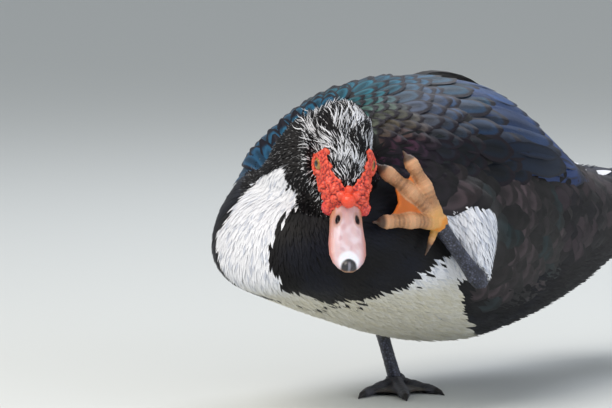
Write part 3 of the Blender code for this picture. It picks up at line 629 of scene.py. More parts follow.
# coverts: structural green and blue in a ring inside a dark rim, satin like thin metal
covertFeather = featherMaterial(
    "iridescent covert vane", 1.1, 0.60, 0.97, 0.40, 0.4,
    Roughness=0.40, Metallic=0.3, Specular_IOR_Level=0.25,
)
# flight feathers: the same gloss, more even in tone
flightFeather = featherMaterial(
    "iridescent flight vane", 1.3, 0.80, 0.85, 0.7, 0.4,
    Roughness=0.40, Metallic=0.3, Specular_IOR_Level=0.25,
)
# crest and cheek feathers: dry, hair fine, no gloss
headFeather = featherMaterial(
    "head feather keratin", 0.9, 0.8, 0.2, 1.0, 0.15, Roughness=0.6, Specular_IOR_Level=0.25,
)


# The red skin ends a little above the eyes, where the solid goes on

ringTop = 10.5
ringSlope = (0.838, 0.545)  # measured back along the head and 33 degrees up from that
ringShape = {"eyeApart": 13.5, "eyeRise": 1.5, "rounding": 0.09, "ragged": 1.2}


def aboveEyes(points):
    # millimetres above the eyes, as seen with the head bowed
    x, y, z = toHead(points).T / mm
    rise = ringSlope[0] * y + ringSlope[1] * (z - ringShape["eyeRise"])
    aside = np.abs(x) - ringShape["eyeApart"]
    return rise + ringShape["rounding"] * aside**2 + ringShape["ragged"] * cloud(points, 0.004, 2.0)


def redTree():
    mesh = nodes["caruncles"].data
    points = meshArrays(mesh)[0]
    high = aboveEyes(points) > ringTop + 1
    faces = [tuple(p.vertices) for p in mesh.polygons if not high[list(p.vertices)].all()]
    return BVHTree.FromPolygons([Vector(p) for p in points], faces)


# Body coat: small soft tufts in front, shingled broad feathers on the flank, loose rounded ones behind

# roots stay off bare skin: the red face, the bill, the eyes and the legs
bareTrees = [(redTree(), 0.4 * mm)] + [
    (treeOf(name), reach * mm)
    for name, reach in (
        ("bill_upper", 1.0), ("bill_lower", 1.0), ("eye_left", 2.0), ("eye_right", 2.0),
        ("tarsus_left", 1.5), ("tarsus_right", 1.5), ("foot_left", 1.0),
    )
]


def isBare(point):
    for tree, reach in bareTrees:
        spot, normal, _, gap = tree.find_nearest(Vector(point), reach + 6 * mm)
        if spot is not None and (gap < reach or (Vector(point) - spot).dot(normal) < 0):
            return True
    return False


def rooted(place, allowed, spacing):
    # which of the allowed places take a feather; spacing is in millimetres
    keep = np.flatnonzero(allowed)
    keep = keep[thinned(place[keep], spacing[keep] * mm)]
    return np.array([i for i in keep if not isBare(place[i])])


def onShin(points):
    # the white feathers of the raised leg
    x, y, z = (points / mm).T
    top = 150 - 0.5 * np.maximum(y + 32, 0) + 7 * cloud(points, 0.01)
    return (x > 82) & (y > -62) & (y < -5) & (z > 86) & (z < top)


def regionOf(points):
    # shares of head and neck, whether the wing covers the place, and its degrees up the side
    x, y, z = (points / mm).T
    headPart, neckPart = headShare(points), neckShare(points)
    degrees = np.degrees(np.arctan2(z - bodyHeight / mm, np.abs(x)))
    alongWing = (y > wingFront(x) + 8) & (y < wingSpan[1])
    underWing = (degrees > wingEdge(y, x) + 6) & (degrees < readTable(wingHigh, y)[0])
    return headPart, neckPart, alongWing & underWing & (neckPart < 0.4), degrees


coatSizes = {
    # candidates per coat, then the gaps between roots in millimetres
    "candidates": 260000, "breast": 2.05, "belly": 2.4, "under": 3.6, "clump": 9.0, "shin": 2.1, "neck": 1.35,
    "head": 1.15,
}
# length and width of the two kinds as multiples of that gap; "white" narrows the white ones
tufts = {
    "shape": "streak", "length": 4.4, "width": 1.35, "white": 1, "steps": 3, "camber": 0.06, "columns": 3,
}
clumps = {
    "shape": "broad", "length": 2.5, "width": 2.1, "white": 0.4, "steps": 6, "camber": 0.14, "columns": 5,
}


def coatBody():
    place, normal, rootUv = sampleSkin(coatSizes["candidates"])
    headPart, neckPart, covered, degrees = regionOf(place)
    x, y, z = (place / mm).T
    shin = onShin(place)
    clump = ease(y, 60, 78) * (1 - ease(y, 225, 250)) * ease(degrees, -32, -14) * (degrees < 60)
    spacing = coatSizes["breast"] + (coatSizes["belly"] - coatSizes["breast"]) * ease(-z, -100, -80)
    spacing += (coatSizes["under"] - spacing) * ease(y, -30, 20)
    spacing += (coatSizes["clump"] - spacing) * (clump > 0.5)
    spacing = np.where(shin, coatSizes["shin"], spacing)
    rows = (y > -74) & (y < 72) & (degrees > readTable(flankLow, y)[0] + 4) & ~shin
    onPatch = whiteShare(place) > 0.3
    keep = rooted(place, (headPart < 0.12) & ((neckPart < 0.5) | onPatch) & ~covered & ~rows, spacing)
    place, normal, rootUv, shin, clump, spacing, degrees = (
        a[keep] for a in (place, normal, rootUv, shin, clump, spacing, degrees)
    )
    x, y, z = (place / mm).T
    count = len(place)
    dice = rng.random((5, count))
    white = whiteShare(place)

    # the white belly has a few dark streaks under the hem; two white tufts lie behind the wing tip
    hem = readTable(breastHem, y)[0]
    streaks = (hem - z > 3) & (hem - z < 13) & (cloud(place * np.array((0.5, 0.5, 2.2)), 0.006, 3.0) > 0.28)
    pairGaps = (np.linalg.norm(place - np.array(p) * mm, axis=1) for p in whiteTufts)
    inPair = np.minimum(*pairGaps) < 9 * mm
    isWhite = ((white > 0.35 + 0.3 * dice[0]) & ~(streaks & (x > 0))) | shin | inPair
    dark = layered(
        tones["black"],
        (tones["blueBlack"], ease(cloud(place, 0.03, 3.0), -0.2, 0.4)),
        (tones["brownBlack"], 0.8 * ease(y, 20, 110)),
        (tones["mauve"], 0.42 * clump * (dice[1] > 0.45) * dice[2]),
        (tones["slate"], 0.5 * ease(y, 150, 215) * ease(degrees, 20, 50)),
    )
    pale = layered(
        tones["white"],
        # painted shade and painted bounce light: the belly's off-white goes to a darker greyish cream towards
        # the bottom
        (tones["shadedCream"], ease(-z, -106, -84) * (0.65 + 0.3 * dice[2])),
        # painted shade: a few white tufts on the upper breast turn blue-grey, as shaded streaks between tufts
        (tones["shadedBlueGrey"], 0.5 * (dice[4] > 0.86) * ease(z, 84, 106)),
    )
    paleTone = pale * (0.9 + 0.14 * dice[3])[:, None]
    darkTone = dark * (0.8 + 0.4 * dice[3])[:, None]
    colour = np.where(isWhite[:, None], paleTone, darkTone)
    rim = np.where(isWhite[:, None], pale, dark * 0.4)

    # how high the tips stand off the skin, in millimetres
    tuftTop = (1.35 + 2.0 * ease(y, -20, 60)) * (0.8 + 0.4 * dice[3])
    clumpTop = 3.6 + 1.8 * dice[3]
    shinTop = 0.7 + 1.8 * ease(-y, 12, 26)
    made = []
    for label, kind, mask, top in (
        ("coat_tufts", tufts, clump < 0.5, tuftTop), ("coat_clumps", clumps, clump >= 0.5, clumpTop),
    ):
        gap = spacing[mask] * mm
        lengths = gap * (kind["length"] + dice[0][mask])
        widths = gap * (kind["width"] + 0.3 * dice[1][mask]) * np.where(isWhite[mask], kind["white"], 1)
        lifts = (0.3 * mm, np.where(shin, shinTop, top)[mask] * mm)
        turn, curl = 0.10 * rng.standard_normal(mask.sum()), 0.15 * rng.standard_normal(mask.sum())
        paths, ups = layPaths(place[mask], normal[mask], lengths, lifts, kind["steps"], turn, curl)
        made += makeVanes(label, paths, ups, widths, kind["shape"], colour[mask], rim[mask], contourFeather,
                          rootUv[mask], thickness=0.15 * mm, camber=kind["camber"], columns=kind["columns"])
    return made


def quincunx(side, firstY, lastY, rowStep, arc, lowAt, high):
    # staggered rows round one side of the body: y, degrees and the share up the row of every root
    y0, deg0, rise = [], [], []
    for row in range(int((lastY - firstY) / rowStep) + 1):
        y = firstY + rowStep * row
        low = float(lowAt(y, side))
        top = float(high(y, side)) if callable(high) else high
        number = max(2, round(math.radians(top - low) * 93 / arc))
        for j in range(number + 1 - row % 2):
            share = (j + 0.5 * (row % 2)) / number
            y0.append(y + rng.normal(0, 0.6))
            deg0.append(low + (top - low) * share + rng.normal(0, 0.4))
            rise.append(share)
    return np.array(y0), np.array(deg0), np.array(rise)


def bodySpots(y, degrees, side):
    # where rays to the middle of the body meet the skin; y in millimetres, degrees up from its side
    spots, ups = [], []
    for a, b in zip(y, np.radians(degrees)):
        start = Vector((0, a * mm, bodyHeight))
        way = Vector((side * math.cos(b), 0, math.sin(b)))
        hit, normal = skinTree.ray_cast(start + way * 0.16, -way)[:2]
        spots.append(hit if hit else start + way * 0.09)
        ups.append(normal if hit else way)
    return np.array(spots), np.array(ups)


def sidePaths(y0, deg0, y1, deg1, lifts, side, steps):
    paths, ups = [], []
    for k in range(steps + 1):
        t = k / steps
        spots, normals = bodySpots(y0 + (y1 - y0) * t, deg0 + (deg1 - deg0) * t**1.1, side)
        rise = (lifts[0] + (lifts[1] - lifts[0]) * t) * mm
        paths.append(spots + normals * np.asarray(rise).reshape(-1, 1))
        ups.append(normals)
    paths, ups = np.stack(paths, 1), np.stack(ups, 1)
    for _ in range(3):  # ease the lie over the skin's small bumps
        paths[:, 1:-1] = paths[:, 1:-1] / 2 + (paths[:, :-2] + paths[:, 2:]) / 4
        ups[:, 1:-1] = ups[:, 1:-1] / 2 + (ups[:, :-2] + ups[:, 2:]) / 4
    return paths, unit(ups)


flank = {
    "rows": (-86, 70), "step": 10.0, "arc": 14.0, "length": 34, "width": 27, "lifts": (-0.5, 3.0), "drop": 7,
    "tuck": 2.6, "worn": (90, 26, 158),  # in millimetres
}


def coatFlank():
    made = []
    for side, label in ((1, "left"), (-1, "right")):
        y0, deg0, rise = quincunx(side, *flank["rows"], flank["step"], flank["arc"],
                                  lambda y, x: readTable(flankLow, y)[0], lambda y, x: wingEdge(y, x) + 2)
        size = 1 + 0.1 * rng.standard_normal(len(y0))
        y1, deg1 = y0 + flank["length"] * size, deg0 - flank["drop"] * (0.4 + 0.6 * (1 - rise))
        tuck = flank["tuck"] * ease(rise, 0.72, 1.0)  # the upper ones slip under the wing
        lifts = [lift - tuck for lift in flank["lifts"]]
        paths, ups = sidePaths(y0, deg0, y1, deg1, lifts, side, 7)
        clear = ~(onShin(paths[:, 4]) | onShin(paths[:, 6]) | onShin(paths[:, 7]))
        paths, ups, size = paths[clear], ups[clear], size[clear]
        middle = paths[:, 5]
        dice = rng.random((3, len(paths)))
        # one paler, worn feather hangs below the wing
        worn = np.linalg.norm(middle - np.array(flank["worn"]) * np.array((side, 1, 1)) * mm, axis=1)
        colour = layered(
            tones["brownBlack"],
            (tones["brown"], ease(dice[0], 0.3, 1.0)),
            (tones["greenBlack"], 0.85 * (cloud(middle, 0.025, 5.0) > 0.22)),
            (tones["mauve"], 0.9 * (1 - ease(worn, 9 * mm, 16 * mm))),
            (tones["plumBlack"], 0.8 * (1 - ease(middle[:, 1], -0.075, -0.045))),
        )
        colour = colour * (0.8 + 0.4 * dice[1])[:, None]
        made += makeVanes(f"flank_{label}", paths, ups, flank["width"] * mm * size, "broad", colour,
                          colour * 0.22, flankFeather, thickness=0.3 * mm, camber=0.15, columns=5)
    return made


def report(stage, made):
    print(stage, sum(len(piece.data.polygons) for piece in made) * 2, "triangles")


bodyCoat = coatBody() + coatFlank()
report("body coat", bodyCoat)


# Neck and head: fine flecked feathers, then the wavy locks of the crest

def alongLie(place, flow, share):
    # squeezes places along the lie, so that lumps of noise become streaks and not spots
    return place - flow * (place * flow).sum(1)[:, None] * share


def flecked(isWhite, grey, dark):
    return np.where(isWhite[:, None], tones["white"] * grey[:, None], tones["black"] * dark[:, None])


def coatHead():
    place, normal, rootUv = sampleSkin(coatSizes["candidates"] // 2, headBoost)
    headPart, neckPart, covered, _ = regionOf(place)
    spacing = coatSizes["neck"] + (coatSizes["head"] - coatSizes["neck"]) * headPart
    onPatch = (whiteShare(place) > 0.3) & (headPart < 0.12)
    keep = rooted(place, ((headPart >= 0.12) | (neckPart >= 0.45)) & ~onPatch & ~covered, spacing)
    place, normal, rootUv, headPart, neckPart, spacing = (
        a[keep] for a in (place, normal, rootUv, headPart, neckPart, spacing)
    )
    local = toHead(place) / mm
    count = len(place)
    dice = rng.random((5, count))
    streak = 0.5 + 0.55 * cloud(alongLie(place, flowAt(place, normal), 0.7), 0.0022)
    cheek = headPart * (1 - ease(local[:, 2], 6, 14))
    speck = 0.34 + 0.16 * headPart + 0.28 * cheek + 0.2 * cloud(place, 0.012, 2.0)
    patch = whiteShare(place) * (1 - headPart)
    isWhite = (streak * 0.6 + dice[0] * 0.4 < 0.33 * cheek + 0.1 * headPart) | (patch > 0.35 + 0.3 * dice[4])
    isTipped = dice[1] < speck
    grey = (0.46 + 0.44 * ease(headPart, 0.05, 0.6)) * (0.7 + 0.5 * dice[2])
    dark = 0.8 + 0.5 * dice[2]
    colour, tips = flecked(isWhite, grey, dark), flecked(isWhite | isTipped, grey, dark)
    lengths = spacing * mm * (2.9 + 0.8 * dice[3])
    widths = spacing * mm * (1.0 + 0.25 * dice[2]) * np.where(isWhite | isTipped, 0.5, 1.25)
    turn, curl = 0.2 * rng.standard_normal(count), 0.3 * rng.standard_normal(count)
    top = (1.2 + 1.0 * (1 - headPart)) * (0.75 + 0.5 * dice[3]) * mm
    paths, ups = layPaths(place, normal, lengths, (0.1 * mm, top), 3, turn, curl)
    return makeVanes("coat_head", paths, ups, widths, "fleck", colour, colour, headFeather, rootUv,
                     thickness=0.15 * mm, camber=0.1, tips=tips, tipStart=0.66)


crest = {
    # millimetres, with lengths and lifts from the forehead to the back; then the bend and the share of white
    "spacing": 1.0, "width": 0.8, "length": (9.0, 19.0), "lift": (1.4, 5.0), "wave": 0.85, "white": 0.47,
    "steps": 7,
}


def coatCrest():
    place, normal, rootUv = sampleSkin(coatSizes["candidates"] // 2, headBoost)
    local = toHead(place) / mm
    onCrown = (local[:, 2] > 3 - 0.22 * local[:, 1]) & (local[:, 1] > -20) & (local[:, 1] < 42)
    keep = rooted(place, onCrown & (headShare(place) > 0.6), np.full(len(place), crest["spacing"]))
    place, normal, rootUv, local = place[keep], normal[keep], rootUv[keep], local[keep]
    count = len(place)
    dice = rng.random((5, count))
    back = ease(local[:, 1], -18, 24)
    flow = flowAt(place, normal)
    streak = 0.5 + 0.6 * cloud(alongLie(place, flow, 0.82), 0.0020, 6.0) + 0.42 * cloud(place, 0.009, 8.0)
    front = 1 - ease(local[:, 1], -19, -2)
    mix = 0.8 - 0.45 * front
    isWhite = (streak * mix + dice[0] * (1 - mix)) < crest["white"] - 0.05 * front
    colour = flecked(isWhite, 0.74 + 0.26 * dice[1], 0.9 + 0.4 * dice[1])
    short, long = crest["length"]
    lengths = (short + (long - short) * back) * (0.75 + 0.5 * dice[2]) * mm
    widths = crest["width"] * (0.7 + 0.6 * dice[3]) * mm * np.where(isWhite, 0.9, 1.15)
    # it stands highest over the right side of the crown
    stand = 1 + 0.8 * ease(-local[:, 0], 0, 8) - 0.4 * ease(local[:, 0], 2, 9)
    aside = ease(-(flow @ headAxes)[:, 0], 0.2, 0.6)
    lengths = lengths * (1 - 0.3 * aside)
    low, high = crest["lift"]
    top = (low + (high - low) * back * (0.3 + 0.7 * dice[1]) * stand) * mm
    # neighbours wave together, and each lock bends one way and then back
    lean = 1.3 * cloud(place, 0.010, 5.0) + 0.16 * rng.standard_normal(count)
    phase = 5.0 * cloud(place, 0.014, 9.0) + 0.4 * rng.standard_normal(count)
    # those at the sides turn back along the crown
    backward = headAxes[:, 1] - normal * (normal @ headAxes[:, 1])[:, None]
    swing = np.arctan2((np.cross(flow, backward) * normal).sum(1), (flow * backward).sum(1))
    steps = crest["steps"]
    wave = crest["wave"] * np.sin(phase[None] + np.linspace(0, 2 * math.pi, steps + 1)[:, None]) * steps / 3
    paths, ups = layPaths(place, normal, lengths, (0.6 * mm, top), steps, 0.55 * lean + 0.65 * swing, wave)
    return makeVanes("crest", paths, ups, widths, "lock", colour, colour, headFeather, rootUv,
                     thickness=0.3 * mm, camber=0.25)


headCoat = coatHead()
crestCoat = coatCrest()
report("head coat", headCoat + crestCoat)


# Wings: shingled tiers round the side of the body, from the shoulder back

# tint of the wing: share of the way back, share of the way up, colour
wingTints = (
    (-0.05, 0.98, "#14606c"), (0.08, 0.88, "#186a70"), (0.00, 0.68, "#33282f"), (0.10, 0.62, "#46203c"),
    (0.16, 0.70, "#4c6230"), (0.20, 0.52, "#55481f"), (0.02, 0.30, "#2e1a2c"), (0.12, 0.28, "#4a1f40"),
    # the greyish lilac at 0.33 back and 0.66 up is the blue painted paler, a painted reflection of the gloss
    # on its barbs
    (0.20, 0.10, "#17131a"), (0.27, 0.90, "#117084"), (0.33, 0.66, "#434c68"), (0.34, 0.30, "#16222e"),
    (0.42, 0.88, "#165a7a"), (0.40, 0.58, "#254268"), (0.46, 0.55, "#173c5e"), (0.46, 0.12, "#0b1118"),
    (0.56, 0.70, "#17424f"), (0.62, 0.40, "#143458"), (0.70, 0.85, "#1b4478"), (0.66, 0.10, "#0c1a2c"),
    (0.82, 0.55, "#1a4484"), (1.00, 0.60, "#1f4f97"), (0.95, 0.15, "#173b78"),
)
tintReach = 0.075
wingLength = (-115, 235)  # where the share of the way back starts, and what it is a share of
covertTiers = (
    # first y, last y, row step, arc between feathers, length, width, lifts at root and tip
    (-114, -66, 7.6, 10.2, 21, 13.5, (-0.6, 2.0)),
    (-60, -24, 9.4, 12.5, 29, 17.0, (-0.5, 2.8)),
    (-15, 22, 12.5, 16.0, 44, 21.0, (-0.2, 3.6)),
)
flightGroups = (
    # count, root y, tip y, root degrees, tip degrees, lifts, width; each from the top down
    (6, (44, 40), (140, 166), (54, 32), (46, 24), (0.6, 2.6), 19),
    (13, (40, 20), (100, 140), (87, 30), (66, 22), (1.0, 4.4), 22),
    (10, (26, 8), (72, 92), (88, 34), (79, 27), (1.4, 5.4), 23),
)
# the far shoulder's blue is a painted highlight over its coverts
covertRim, flightRim, farShoulderSheen = linear("#150d17"), linear("#0a0e1e"), linear("#1f5f86")


def wingTint(y, rise, jitter):
    back = (y - wingLength[0]) / wingLength[1]
    total, weight = np.zeros((len(back), 3)), np.zeros(len(back))
    for b, r, hexValue in wingTints:
        near = np.exp(-((back - b) ** 2 + 0.35 * (rise - r) ** 2) / (2 * tintReach**2)) + 1e-6
        total += linear(hexValue)[None] * near[:, None]
        weight += near
    return total / weight[:, None] * (0.62 + 0.55 * jitter)[:, None]


def makeWing(side, label):
    made = []
    for tier, (firstY, lastY, rowStep, arc, length, width, lifts) in enumerate(covertTiers):
        if side < 0 and tier == 0:  # the far shoulder stands over the foot of the neck
            firstY, lifts = firstY + wingFront(side) - wingSpan[0], (1.0, 4.6)
        y0, deg0, rise = quincunx(side, firstY, lastY, rowStep, arc, lambda y, x: wingEdge(y, x) - 2,
                                  lambda y, x: wingTop - 14 * (1 - float(ease(y, -112, -92))))
        size = 1 + 0.16 * (rise - 0.4) + 0.05 * rng.standard_normal(len(y0))
        y1 = y0 + length * size * (0.8 + 0.2 * rise)
        drop = 3 + 10 * (1 - ease(y0, -112, -40)) * (1 - 0.5 * rise)
        slope = wingEdge(y1, np.full(len(y1), side)) - wingEdge(y0, np.full(len(y0), side))
        deg1 = deg0 - drop + np.clip(slope, -8, 0) * (1 - rise) * 0.6
        paths, ups = sidePaths(y0, deg0, y1, deg1, lifts, side, 6)
        colour = wingTint(y0 + length * 0.6, rise, rng.random(len(y0)))
        if side < 0:
            # painted highlight: the far shoulder's coverts are painted a brighter blue, as the sheen seen on
            # them
            colour = mixed(colour, farShoulderSheen, 0.8 * (1 - ease(y0, -100, -60)))
        rim = np.broadcast_to(covertRim, colour.shape)
        made += makeVanes(f"coverts_{label}_{tier + 1}", paths, ups, width * mm * size, "broad", colour, rim,
                          covertFeather, camber=0.12, columns=5, ragged=0.02)
    for group, (number, rootY, tipY, rootDeg, tipDeg, lifts, width) in enumerate(flightGroups):
        share = np.linspace(0, 1, number)
        y0, y1 = (a[0] + (a[1] - a[0]) * share for a in (rootY, tipY))
        deg0, deg1 = (a[0] + (a[1] - a[0]) * share for a in (rootDeg, tipDeg))
        heights = (lifts[0], lifts[1] + 0.8 * share)
        paths, ups = sidePaths(y0, deg0, y1 + rng.normal(0, 2, number), deg1, heights, side, 12)
        colour = wingTint(y0 * 0.4 + y1 * 0.6, 0.95 - 0.8 * share, rng.random(number))
        rim = np.broadcast_to(flightRim, colour.shape)
        made += makeVanes(f"flights_{label}_{group + 1}", paths, ups, np.full(number, width * mm), "flight",
                          colour, rim, flightFeather, thickness=0.4 * mm, camber=0.1, columns=5, ragged=0.02)
    return made


leftWing = makeWing(1, "left")
rightWing = makeWing(-1, "right")


# dark feathers of the far wing that stand a little over the line of the back, in millimetres and degrees
backFeathers = {
    "y": (28.0, 134.0), "degrees": 84.0, "heave": 12.5, "lift": 1.5, "width": 21, "steps": 10,
    "colours": ("#140f10", "#3a2220", "#1a1416"),
}


def raisedFeathers():
    number = len(backFeathers["colours"])
    offset = np.arange(number)
    start, end = backFeathers["y"]
    degrees = backFeathers["degrees"] - 4 * offset
    steps = backFeathers["steps"]
    paths, ups = sidePaths(start + 4 * offset, degrees, end - 3 * offset, degrees, (0, 0), -1, steps)
    t = np.linspace(0, 1, steps + 1)[None, :, None]
    heave = np.sin(math.pi * np.clip(t * 0.92, 0, 1)) ** 0.7 * backFeathers["heave"] * mm
    heave = heave + backFeathers["lift"] * mm
    paths = paths + ups * heave
    colour = np.array([linear(hexValue) for hexValue in backFeathers["colours"]])
    widths = np.full(number, backFeathers["width"] * mm)
    return makeVanes("raised_feathers", paths, ups, widths, "flight", colour, colour * 0.4, contourFeather,
                     thickness=0.5 * mm, columns=5, ragged=0.02)


rightWing += raisedFeathers()
report("wings", leftWing + rightWing)


# Tail: a fan of broad feathers, with coverts over and under the roots

tailTiers = (
    # name, count, root y, length, half spread in degrees, width, height, droop at the sides, colour
    ("tail_fan", 18, 262, 127, 27, 27, 143, 13, "#1b2338"),
    ("tail_over_1", 13, 240, 78, 21, 21, 150, 13, "#2a2c40"),
    ("tail_over_2", 11, 216, 66, 17, 22, 155, 15, "#2c2a3a"),
    ("tail_over_3", 11, 192, 62, 14, 24, 160, 18, "#28242e"),
    ("tail_under_1", 9, 250, 78, 17, 24, 116, -8, "#17151c"),
    ("tail_under_2", 7, 228, 60, 14, 24, 103, -12, "#141217"),
)
# millimetres, but for the share by which the fan's outer feathers are shorter; rearOnes is a root's y
tail = {"rootSpread": 15, "roundEnd": 0.13, "stack": 0.45, "rearOnes": 230, "rise": 6, "fall": 9}


def makeTail():
    # the rearmost tiers rise to their tips and the others come down on them
    made = []
    for label, number, root, length, spread, width, height, droop, hexValue in tailTiers:
        u = np.linspace(-1, 1, number)
        angle = np.radians(spread * u)
        reach = length * (1 - tail["roundEnd"] * u**2) + rng.normal(0, 1, number)
        rows = []
        for t in np.linspace(0, 1, 9):
            x = tail["rootSpread"] * u + reach * t * np.sin(angle)
            y = root + reach * t * np.cos(angle)
            z = height - droop * np.abs(u) ** 1.6 * (0.3 + 0.7 * t)
            z = z + (tail["rise"] if root > tail["rearOnes"] else -tail["fall"]) * t
            z = z - tail["stack"] * np.arange(number)[::-1]
            rows.append(np.stack([x, y, z], 1) * mm)
        paths = np.stack(rows, 1)
        ups = unit(np.stack([0.35 * u, np.zeros(number), np.ones(number)], 1))
        ups = np.broadcast_to(ups[:, None], paths.shape) * (1 if droop > 0 else -1)
        colour = linear(hexValue)[None] * (0.75 + 0.5 * rng.random(number))[:, None]
        made += makeVanes(label, paths, ups, np.full(number, width * mm), "flight", colour, colour * 0.35,
                          flightFeather, thickness=0.45 * mm, camber=0.12, columns=5, ragged=0.02)
    return made


tailFan = makeTail()
print("tail", len(tailFan), "tiers")


# Down under the feathers, dark or pale as they are

isPale = (whiteShare(skinPoints) > 0.5) | onShin(skinPoints)
paintPoints(skinMesh, "plume", mixed(tones["black"], tones["white"], isPale) * 0.8)
down, downTree, downShader = newMaterial("down under feathers", Roughness=0.9, Sheen_Weight=0.1)
downPaint = addNode(downTree, "ShaderNodeAttribute", {"attribute_name": "plume"})
fluff = addNode(downTree, "ShaderNodeTexNoise", Scale=900.0, Detail=3.0)  # lumps of about 1 mm
fluffRange = addNode(downTree, "ShaderNodeMapRange", i0=fluff.outputs[0], i1=0.3, i2=0.7, i3=0.7, i4=1.2)
downTone = addNode(downTree, "ShaderNodeVectorMath", {"operation": "SCALE"}, i0=downPaint.outputs["Color"],
                   i3=fluffRange.outputs[0])
downTree.links.new(downTone.outputs[0], downShader.inputs["Base Color"])
downBump = addNode(downTree, "ShaderNodeBump", Height=fluff.outputs[0], Strength=0.5, Distance=0.5 * mm)
downTree.links.new(downBump.outputs[0], downShader.inputs["Normal"])
dressed(skin, down)


# Bare parts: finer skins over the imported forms

def hornMaterial(name, noiseMm, spread, bumpMm, **fixed):
    # painted surface with fine mottling of the given grain
    made, tree, shader = newMaterial(name, **fixed)
    paint = addNode(tree, "ShaderNodeAttribute", {"attribute_name": "plume"})
    grain = addNode(tree, "ShaderNodeTexNoise", Scale=1 / (noiseMm * mm), Detail=4.0)
    shade = addNode(tree, "ShaderNodeMapRange", i0=grain.outputs[0], i1=0.3, i2=0.7, i3=1 - spread,
                    i4=1 + spread)
    tone = addNode(tree, "ShaderNodeVectorMath", {"operation": "SCALE"}, i0=paint.outputs["Color"],
                   i3=shade.outputs[0])
    tree.links.new(tone.outputs[0], shader.inputs["Base Color"])
    bump = addNode(tree, "ShaderNodeBump", Height=grain.outputs[0], Strength=0.6, Distance=bumpMm * mm)
    tree.links.new(bump.outputs[0], shader.inputs["Normal"])
    return made


# thick wet caruncle skin: light sinks in and glows red, the film on it gives small highlights
caruncleSkin = hornMaterial("caruncle skin", 1.2, 0.14, 0.25, Roughness=0.34, Subsurface_Weight=0.25,
                            Subsurface_Scale=2 * mm, Coat_Weight=0.35, Coat_Roughness=0.2)
# bill horn: satin keratin, milky, faintly grained along its length
billHorn = hornMaterial("bill horn", 2.5, 0.06, 0.06, Roughness=0.34, Subsurface_Weight=0.15,
                        Subsurface_Scale=1.5 * mm)
# leg scutes: small plates of dry keratin with darker seams
legScutes = hornMaterial("leg scutes", 0.8, 0.16, 0.12, Roughness=0.46)
# web skin: leathery, slightly translucent
webSkin = hornMaterial("web skin", 1.5, 0.16, 0.2, Roughness=0.5, Subsurface_Weight=0.12,
                       Subsurface_Scale=1.5 * mm)
# cornea and tear film: a hard clear gloss over the iris
eyeGlass = hornMaterial("eye cornea", 0.6, 0.08, 0.01, Roughness=0.12, Coat_Weight=1.0, Coat_Roughness=0.02)


def refinedNode(node, name, voxel, smoothing, look):
    return dressed(remeshed(joined(name, [node]), voxel, smoothing), look)


def relief(mesh, points, normals, height):
    setPoints(mesh, points + normals * height[:, None])


def cobbles(points, size):
    # high in the middle of each cell, low at the seams, from 0 to 1
    spans = [noise.voronoi(Vector(p) / size)[0] for p in points]
    return np.array([min(1.0, (d[1] - d[0]) * 1.6) for d in spans])


caruncle = {
    "voxel": 0.5 * mm, "beads": 2500, "beadSpacing": 2.5 * mm, "bead": (1.1 * mm, 1.9 * mm), "fold": 0.6 * mm,
    # the raised tone is a painted highlight for the ridges and the hollow tone a painted shade for the
    # creases
    "red": "#d6331f", "raised": "#ee5a3c", "hollow": "#7a1112", "gape": "#d24052", "knob": "#f04a26",
    # the forehead's knob and the gape's corners in the head's frame, in millimetres
    "knobPlace": (0, -33, 9), "gapePlace": (11.5, 29.5, 11),
}
eye = {
    # degrees from the way it looks, with the lids' openings along the head and up it; "ball" in millimetres
    "pupil": 18, "iris": 46, "gaze": (0.90, -0.26, 0.36), "lids": (47, 31), "grow": 0.2 * mm, "ball": 5.3,
    "pupilTone": "#050405", "innerTone": "#17100c", "irisTone": "#a8741c", "rimTone": "#2a1712",
}
eyeRings = (
    # bulbs of red skin round each eye: degrees from the gaze, reach and radius in millimetres, count
    (54, 7.3, 1.5, 16), (78, 8.6, 2.1, 15), (100, 9.0, 2.5, 14),
)
caruncleLobes = (
    # y along the head, degrees up round it, radius, in millimetres
    (-33, 90, 5.2), (-26.5, 90, 3.0), (-29, 62, 4.0), (-24, 50, 4.2), (-18.5, 40, 3.6), (-29.5, 36, 3.4),
    (-24, 28, 3.4), (-17.5, 21, 3.2), (-29.5, 12, 3.2), (-23, 8, 3.2), (-16.5, 2, 3.0), (-30, -18, 5.6),
    (-22.5, -10, 3.0), (-14, -16, 2.8),
)


def gazeAxes(side):
    # the way the eye looks, and two axes across it: along the head and up it
    gaze = unit(np.array(eye["gaze"]) * np.array((side, 1, 1)))
    along = unit(np.array((0, 1, 0)) - gaze * gaze[1])
    return gaze @ headAxes.T, along @ headAxes.T, np.cross(gaze, along) @ headAxes.T


def ball(place, radius, steps=10):
    return Matrix.Translation(Vector(place)) @ Matrix.Diagonal((radius, radius, radius, 1)), steps


def caruncleBalls():
    balls = []
    surface = treeOf("caruncles")
    for y, degrees, radius in caruncleLobes:
        for side in ((1,) if degrees == 90 else (1, -1)):
            a = math.radians(degrees)
            axis = np.array((0, y, -4)) * mm
            way = np.array((side * math.cos(a), 0, math.sin(a)))
            start, back = Vector(fromHead(axis + way * 0.05)), Vector(-way @ headAxes.T)
            hit = surface.ray_cast(start, back)[0]
            if hit is not None:
                balls.append(ball(hit + back * radius * 0.3 * mm, radius * mm, 14))
    for side, centre in ((1, leftEye), (-1, rightEye)):
        gaze, along, across = gazeAxes(side)
        for row, (ringAngle, reach, radius, number) in enumerate(eyeRings):
            for k in range(number):
                phi = 2 * math.pi * (k + 0.5 * (row == 1)) / number
                tilt = math.radians(ringAngle + 5 * abs(math.cos(phi)))
                outward = along * math.cos(phi) + across * math.sin(phi)
                way = gaze * math.cos(tilt) + outward * math.sin(tilt)
                balls.append(ball(centre + Vector(way * reach * mm), radius * rng.uniform(0.9, 1.1) * mm))
    return balls


